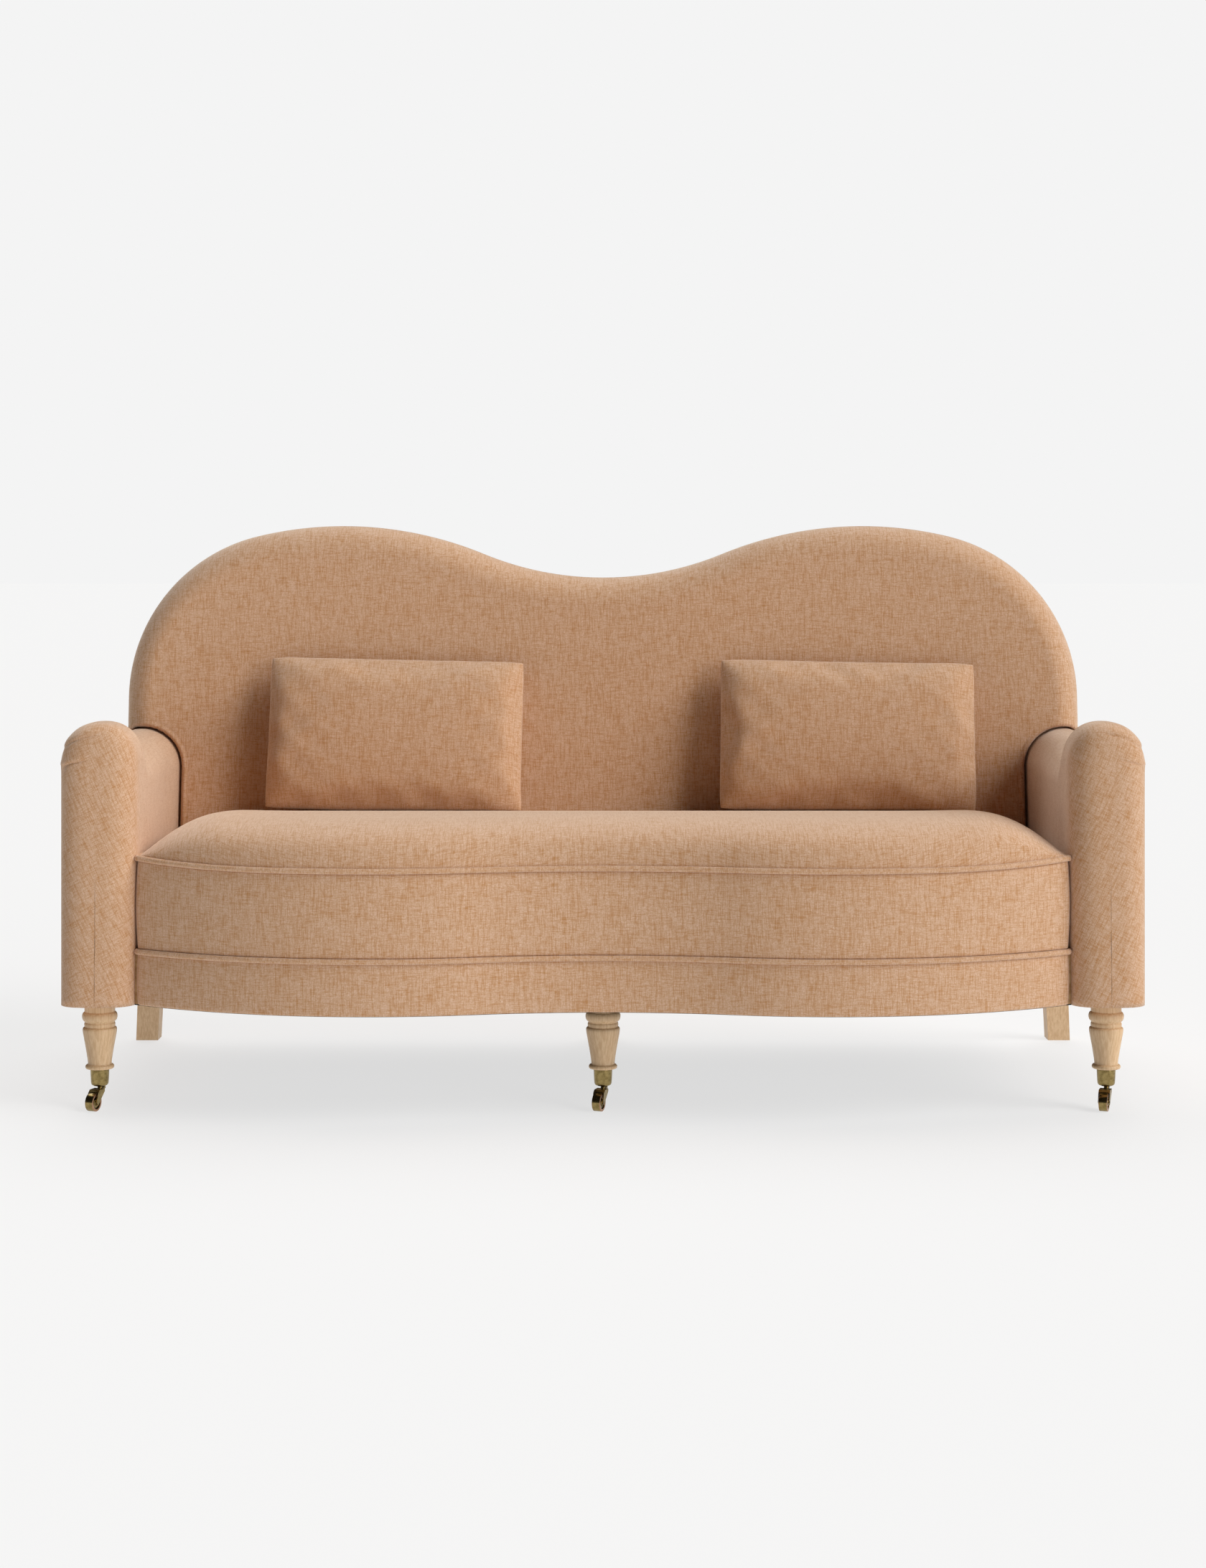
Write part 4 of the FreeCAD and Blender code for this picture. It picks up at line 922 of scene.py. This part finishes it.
def blown_up(piece, pressure=3.0, frames=20, reach=0.014):
    """Cloth with the filling's pressure inside it, after a few frames, its small creases eased."""
    flat = vertices(piece.data)
    cloth = piece.modifiers.new("cover", "CLOTH")
    cloth.settings.quality = 6
    cloth.settings.mass = 0.25
    cloth.settings.tension_stiffness = cloth.settings.compression_stiffness = 18
    cloth.settings.shear_stiffness = 6
    cloth.settings.bending_stiffness = 0.5
    cloth.settings.shrink_min = -PILLOW_SLACK
    cloth.settings.use_pressure = True
    cloth.settings.uniform_pressure_force = pressure
    cloth.settings.effector_weights.gravity = 0
    cloth.collision_settings.use_collision = False
    for moment in range(1, frames + 1):
        scene.frame_set(moment)
    full = vertices(piece.evaluated_get(bpy.context.evaluated_depsgraph_get()).data)
    piece.modifiers.remove(cloth)
    scene.frame_set(1)
    move = full - flat
    far = np.linalg.norm(move, axis=1, keepdims=True)
    move = move * np.minimum(1, reach / np.maximum(far, 1e-9))
    edges = np.array([edge.vertices[:] for edge in piece.data.edges])
    count = np.bincount(edges.ravel(), minlength=len(flat))[:, None]
    for _ in range(PILLOW_EASING):
        around = np.zeros_like(move)
        np.add.at(around, edges[:, 0], move[edges[:, 1]])
        np.add.at(around, edges[:, 1], move[edges[:, 0]])
        move = (move + around / count) / 2
    return flat + move


def settled(points, side):
    """The filled cover in its place: as large as it is sewn, flat where it lies on the sofa."""
    w, h, thick = PILLOW_HALF
    middle = (points.max(0) + points.min(0)) / 2
    points = (points - middle) * (np.array([w, h, thick]) / np.abs(points - middle).max(0))
    low, high = (Vector(c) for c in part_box(f"pillow_cover_{side}"))
    place = (Matrix.Translation((low + high) / 2 - Vector((0, 0, PILLOW_DROP)))
             @ Matrix.Rotation(math.radians(PILLOW_ROLL), 4, "Y")
             @ Matrix.Rotation(math.radians(90 - PILLOW_LEAN), 4, "X"))
    points = points @ np.array(place.to_3x3()).T + np.array(place.translation)
    points[:, 1] = np.minimum(points[:, 1], back_place(points[:, 2], 0.0) - PILLOW_CLEAR)
    y = np.minimum(points[:, 1], SEAT_REAR - REAR_ROLL)
    seat_top = UPPER_PIPING + PIPING_COVER + crown_height(points[:, 0], y)
    points[:, 2] = np.maximum(points[:, 2], seat_top + PILLOW_CLEAR)
    return points


for number, side in enumerate(("left", "right")):
    pillow = welded(f"pillow_{side}", pillow_cover(number), f"pillow_{side}", upholstery)
    filled = blown_up(pillow)
    pillow.data.vertices.foreach_set("co", settled(filled, side).ravel())
    pillow.data.update()
    smooth = pillow.modifiers.new("smooth", "SUBSURF")
    smooth.levels = smooth.render_levels = 1
    pillow.data = evaluated_mesh(pillow)
    pillow.modifiers.clear()
    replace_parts(pillow, f"pillow_cover_{side}", f"pillow_filling_{side}")


# The rear legs: square, tapered and raked, of pale wood with an oiled finish, screwed up into the
# back rail. Their edges are eased.
LEG_PALE, LEG_DEEP = srgb(226, 194, 154), srgb(204, 166, 124)
REAR_LEG_SHIFT, REAR_LEG_EASE = {"left": -0.009, "centre": 0.0, "right": 0.009}, 0.0016
pale_wood = timber("pale_turned_wood", LEG_PALE, LEG_DEEP, "z", 0.45, grain_scale=330.0,
                   pore_depth=0.6)
for place, shift in REAR_LEG_SHIFT.items():
    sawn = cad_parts[f"rear_leg_{place}"]
    eased = bpy.data.objects.new(f"back_leg_{place}", sawn.data.copy())
    eased.matrix_world = Matrix.Translation((shift, 0, 0)) @ sawn.matrix_world
    scene.collection.objects.link(eased)
    edge = eased.modifiers.new("eased", "BEVEL")
    edge.width, edge.segments = REAR_LEG_EASE, 2
    eased.data = evaluated_mesh(eased)
    eased.modifiers.clear()
    eased.data.materials.clear()
    eased.data.materials.append(pale_wood)
    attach(eased, "root")
    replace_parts(eased, f"rear_leg_{place}")


# The front legs: turned from the same pale wood, with a bead, a small ring and a round shoulder
# over a taper, and a ring at the foot where the caster's cup begins.
LEG_PLACES = {"left": (-0.886, -0.297), "centre": (0.0, -0.297), "right": (0.886, -0.297)}
LEG_PROFILE = [
    (0.0144, 0.0493), (0.0144, 0.0717), (0.0226, 0.0717), (0.0240, 0.0722), (0.0248, 0.0734),
    (0.0251, 0.0752), (0.0247, 0.0770), (0.0236, 0.0784), (0.0220, 0.0792), (0.0209, 0.0797),
    (0.0205, 0.0815), (0.0212, 0.0880), (0.0225, 0.0965), (0.0240, 0.1060), (0.0256, 0.1150),
    (0.0272, 0.1235), (0.0286, 0.1310), (0.0294, 0.1360), (0.0298, 0.1395), (0.0297, 0.1420),
    (0.0289, 0.1438), (0.0275, 0.1447), (0.0262, 0.1450), (0.0262, 0.1458), (0.0266, 0.1463),
    (0.0270, 0.1478), (0.0271, 0.1495), (0.0269, 0.1512), (0.0264, 0.1526), (0.0259, 0.1530),
    (0.0259, 0.1543), (0.0266, 0.1550), (0.0282, 0.1562), (0.0297, 0.1583), (0.0306, 0.1612),
    (0.0309, 0.1640), (0.0306, 0.1666), (0.0297, 0.1690), (0.0283, 0.1708), (0.0269, 0.1716),
    (0.0263, 0.1722), (0.0266, 0.1732), (0.0267, 0.1750), (0.0267, 0.1895),
]
AROUND = 72


def turned_mesh(name, profile, closed=False):
    """A profile of (radius, height) points turned about Z; sharp where it turns sharply."""
    rings = np.array(profile)
    angle = np.linspace(0, 2 * math.pi, AROUND, endpoint=False)
    points = np.stack([rings[:, :1] * np.cos(angle), rings[:, :1] * np.sin(angle),
                       np.repeat(rings[:, 1:], AROUND, 1)], -1).reshape(-1, 3)
    faces = []
    levels = len(rings) if closed else len(rings) - 1
    for i in range(levels):
        for j in range(AROUND):
            low, high = i * AROUND, (i + 1) % len(rings) * AROUND
            faces.append((low + j, low + (j + 1) % AROUND, high + (j + 1) % AROUND, high + j))
    if not closed:
        faces.append(tuple(range(AROUND))[::-1])
        faces.append(tuple(range((len(rings) - 1) * AROUND, len(rings) * AROUND)))
    mesh = bpy.data.meshes.new(name)
    mesh.from_pydata(points.tolist(), [], faces)
    outwards(mesh)
    mesh.polygons.foreach_set("use_smooth", [True] * len(mesh.polygons))
    mesh.set_sharp_from_angle(angle=math.radians(40))
    return mesh


def placed(name, mesh, where, body, material):
    """A mesh as a piece that rides on one of the sofa's bodies."""
    mesh.materials.append(material)
    piece = bpy.data.objects.new(name, mesh)
    piece.matrix_world = where
    scene.collection.objects.link(piece)
    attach(piece, body)
    return piece


legs = []
for place, (x, y) in LEG_PLACES.items():
    mesh = turned_mesh(f"front_leg_{place}", LEG_PROFILE)
    legs.append(placed(f"front_leg_{place}", mesh, Matrix.Translation((x, y, 0)), "root", pale_wood))
for leg in legs:
    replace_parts(leg, "front_legs")


# The casters: a cup on the foot of each front leg, a horn that swivels under it, a wheel with a
# bronze rim round a recessed hub, and an axle, all cast and turned in brass with an antique finish.
CUP_PROFILE = [
    (0.0031, 0.0368), (0.0041, 0.0368), (0.0041, 0.0398), (0.0045, 0.0405), (0.0060, 0.0409),
    (0.0096, 0.0413), (0.0126, 0.0422), (0.0144, 0.0438), (0.0152, 0.0462), (0.0156, 0.0510),
    (0.0161, 0.0600), (0.0164, 0.0680), (0.0165, 0.0710), (0.0163, 0.0715), (0.0158, 0.0716),
    (0.0145, 0.0716), (0.0145, 0.0491), (0.0031, 0.0491),
]
WHEEL_RADIUS, WHEEL_TRAIL, SWIVEL_TURN = 0.016, 0.022, 20
HALF_WHEEL = [
    (0.0160, 0.0), (0.0160, 0.0066), (0.0158, 0.0072), (0.0153, 0.0075), (0.0119, 0.0075),
    (0.0114, 0.0072), (0.0111, 0.0060), (0.0100, 0.0054), (0.0064, 0.0053), (0.0056, 0.0058),
    (0.0053, 0.0070), (0.0049, 0.0075), (0.00206, 0.0075), (0.00206, 0.0),
]
WHEEL_PROFILE = HALF_WHEEL + [(r, -z) for r, z in HALF_WHEEL[-1:0:-1] if z]


def metal(name, colour, shade, roughness, rim=None):
    """Aged metal, cloudy and darker in places; a rim has its own colour on a wheel's sides."""
    finish = Finish(name, Metallic=1.0)
    where = finish.node("ShaderNodeTexCoord", output=3)
    cloudy = where.noise(160.0, 3.0, 0.6)
    fine = where.noise(2400.0, 2.0)
    tone = finish.mix(cloudy.between(0.35, 0.7), colour, shade)
    if rim:
        x, y, z = where.parts(3)
        square = x * x + y * y
        out = square.calc("SQRT", square)
        side = z.calc("ABSOLUTE", z).between(0.0062, 0.0070)
        ring = side * out.between(0.0110, 0.0114)
        hub = out.between(0.0113, 0.0109)
        tone = finish.mix(ring * 0.9, tone, rim)
        tone = finish.mix(hub * 0.55, tone, shade)
    return finish.shades(Base_Color=tone, Roughness=cloudy * 0.14 + fine * 0.06 + roughness,
                         Normal=finish.bump(fine, 0.00004, 0.3))


BRASS, DARK_BRASS, BRONZE_RIM = srgb(160, 140, 92), srgb(128, 110, 68), srgb(176, 136, 108)
antique = metal("antique_brass", BRASS, DARK_BRASS, 0.20)
rolled = metal("rolled_brass", BRASS, DARK_BRASS, 0.14, rim=BRONZE_RIM)
finished([f"caster_{part}_{place}" for part in ("horn", "axle") for place in LEG_PLACES], antique)
cups = []
turn = math.radians(SWIVEL_TURN)
for place, (x, y) in LEG_PLACES.items():
    cup = turned_mesh(f"cup_{place}", CUP_PROFILE, closed=True)
    cups.append(placed(f"cup_{place}", cup, Matrix.Translation((x, y, 0)), "root", antique))
    hub = (x - WHEEL_TRAIL * math.sin(turn), y - WHEEL_TRAIL * math.cos(turn), WHEEL_RADIUS)
    wheel = turned_mesh(f"wheel_{place}", WHEEL_PROFILE, closed=True)
    wheel = placed(f"wheel_{place}", wheel, Matrix.Translation(hub) @ Matrix.Rotation(-turn, 4, "Z")
                   @ Matrix.Rotation(math.radians(90), 4, "Y"), f"caster_roller_{place}", rolled)
    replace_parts(wheel, f"caster_wheel_{place}")
for cup in cups:
    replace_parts(cup, "caster_cups")


# The floor's own finish: smooth, matt and pale, and so evenly lit that it runs into the background
# and takes only faint shadows.
FLOOR_GLOW, FLOOR_PALE = 0.69, 0.24
paint = Finish("pale_floor", Roughness=1.0, Specular_IOR_Level=0.0, Emission_Strength=1.0)
paint.shader.inputs["Base Color"].default_value = (FLOOR_PALE, FLOOR_PALE, FLOOR_PALE, 1)
paint.shader.inputs["Emission Color"].default_value = (FLOOR_GLOW, FLOOR_GLOW, FLOOR_GLOW, 1)
floor_mesh.materials.append(paint.material)
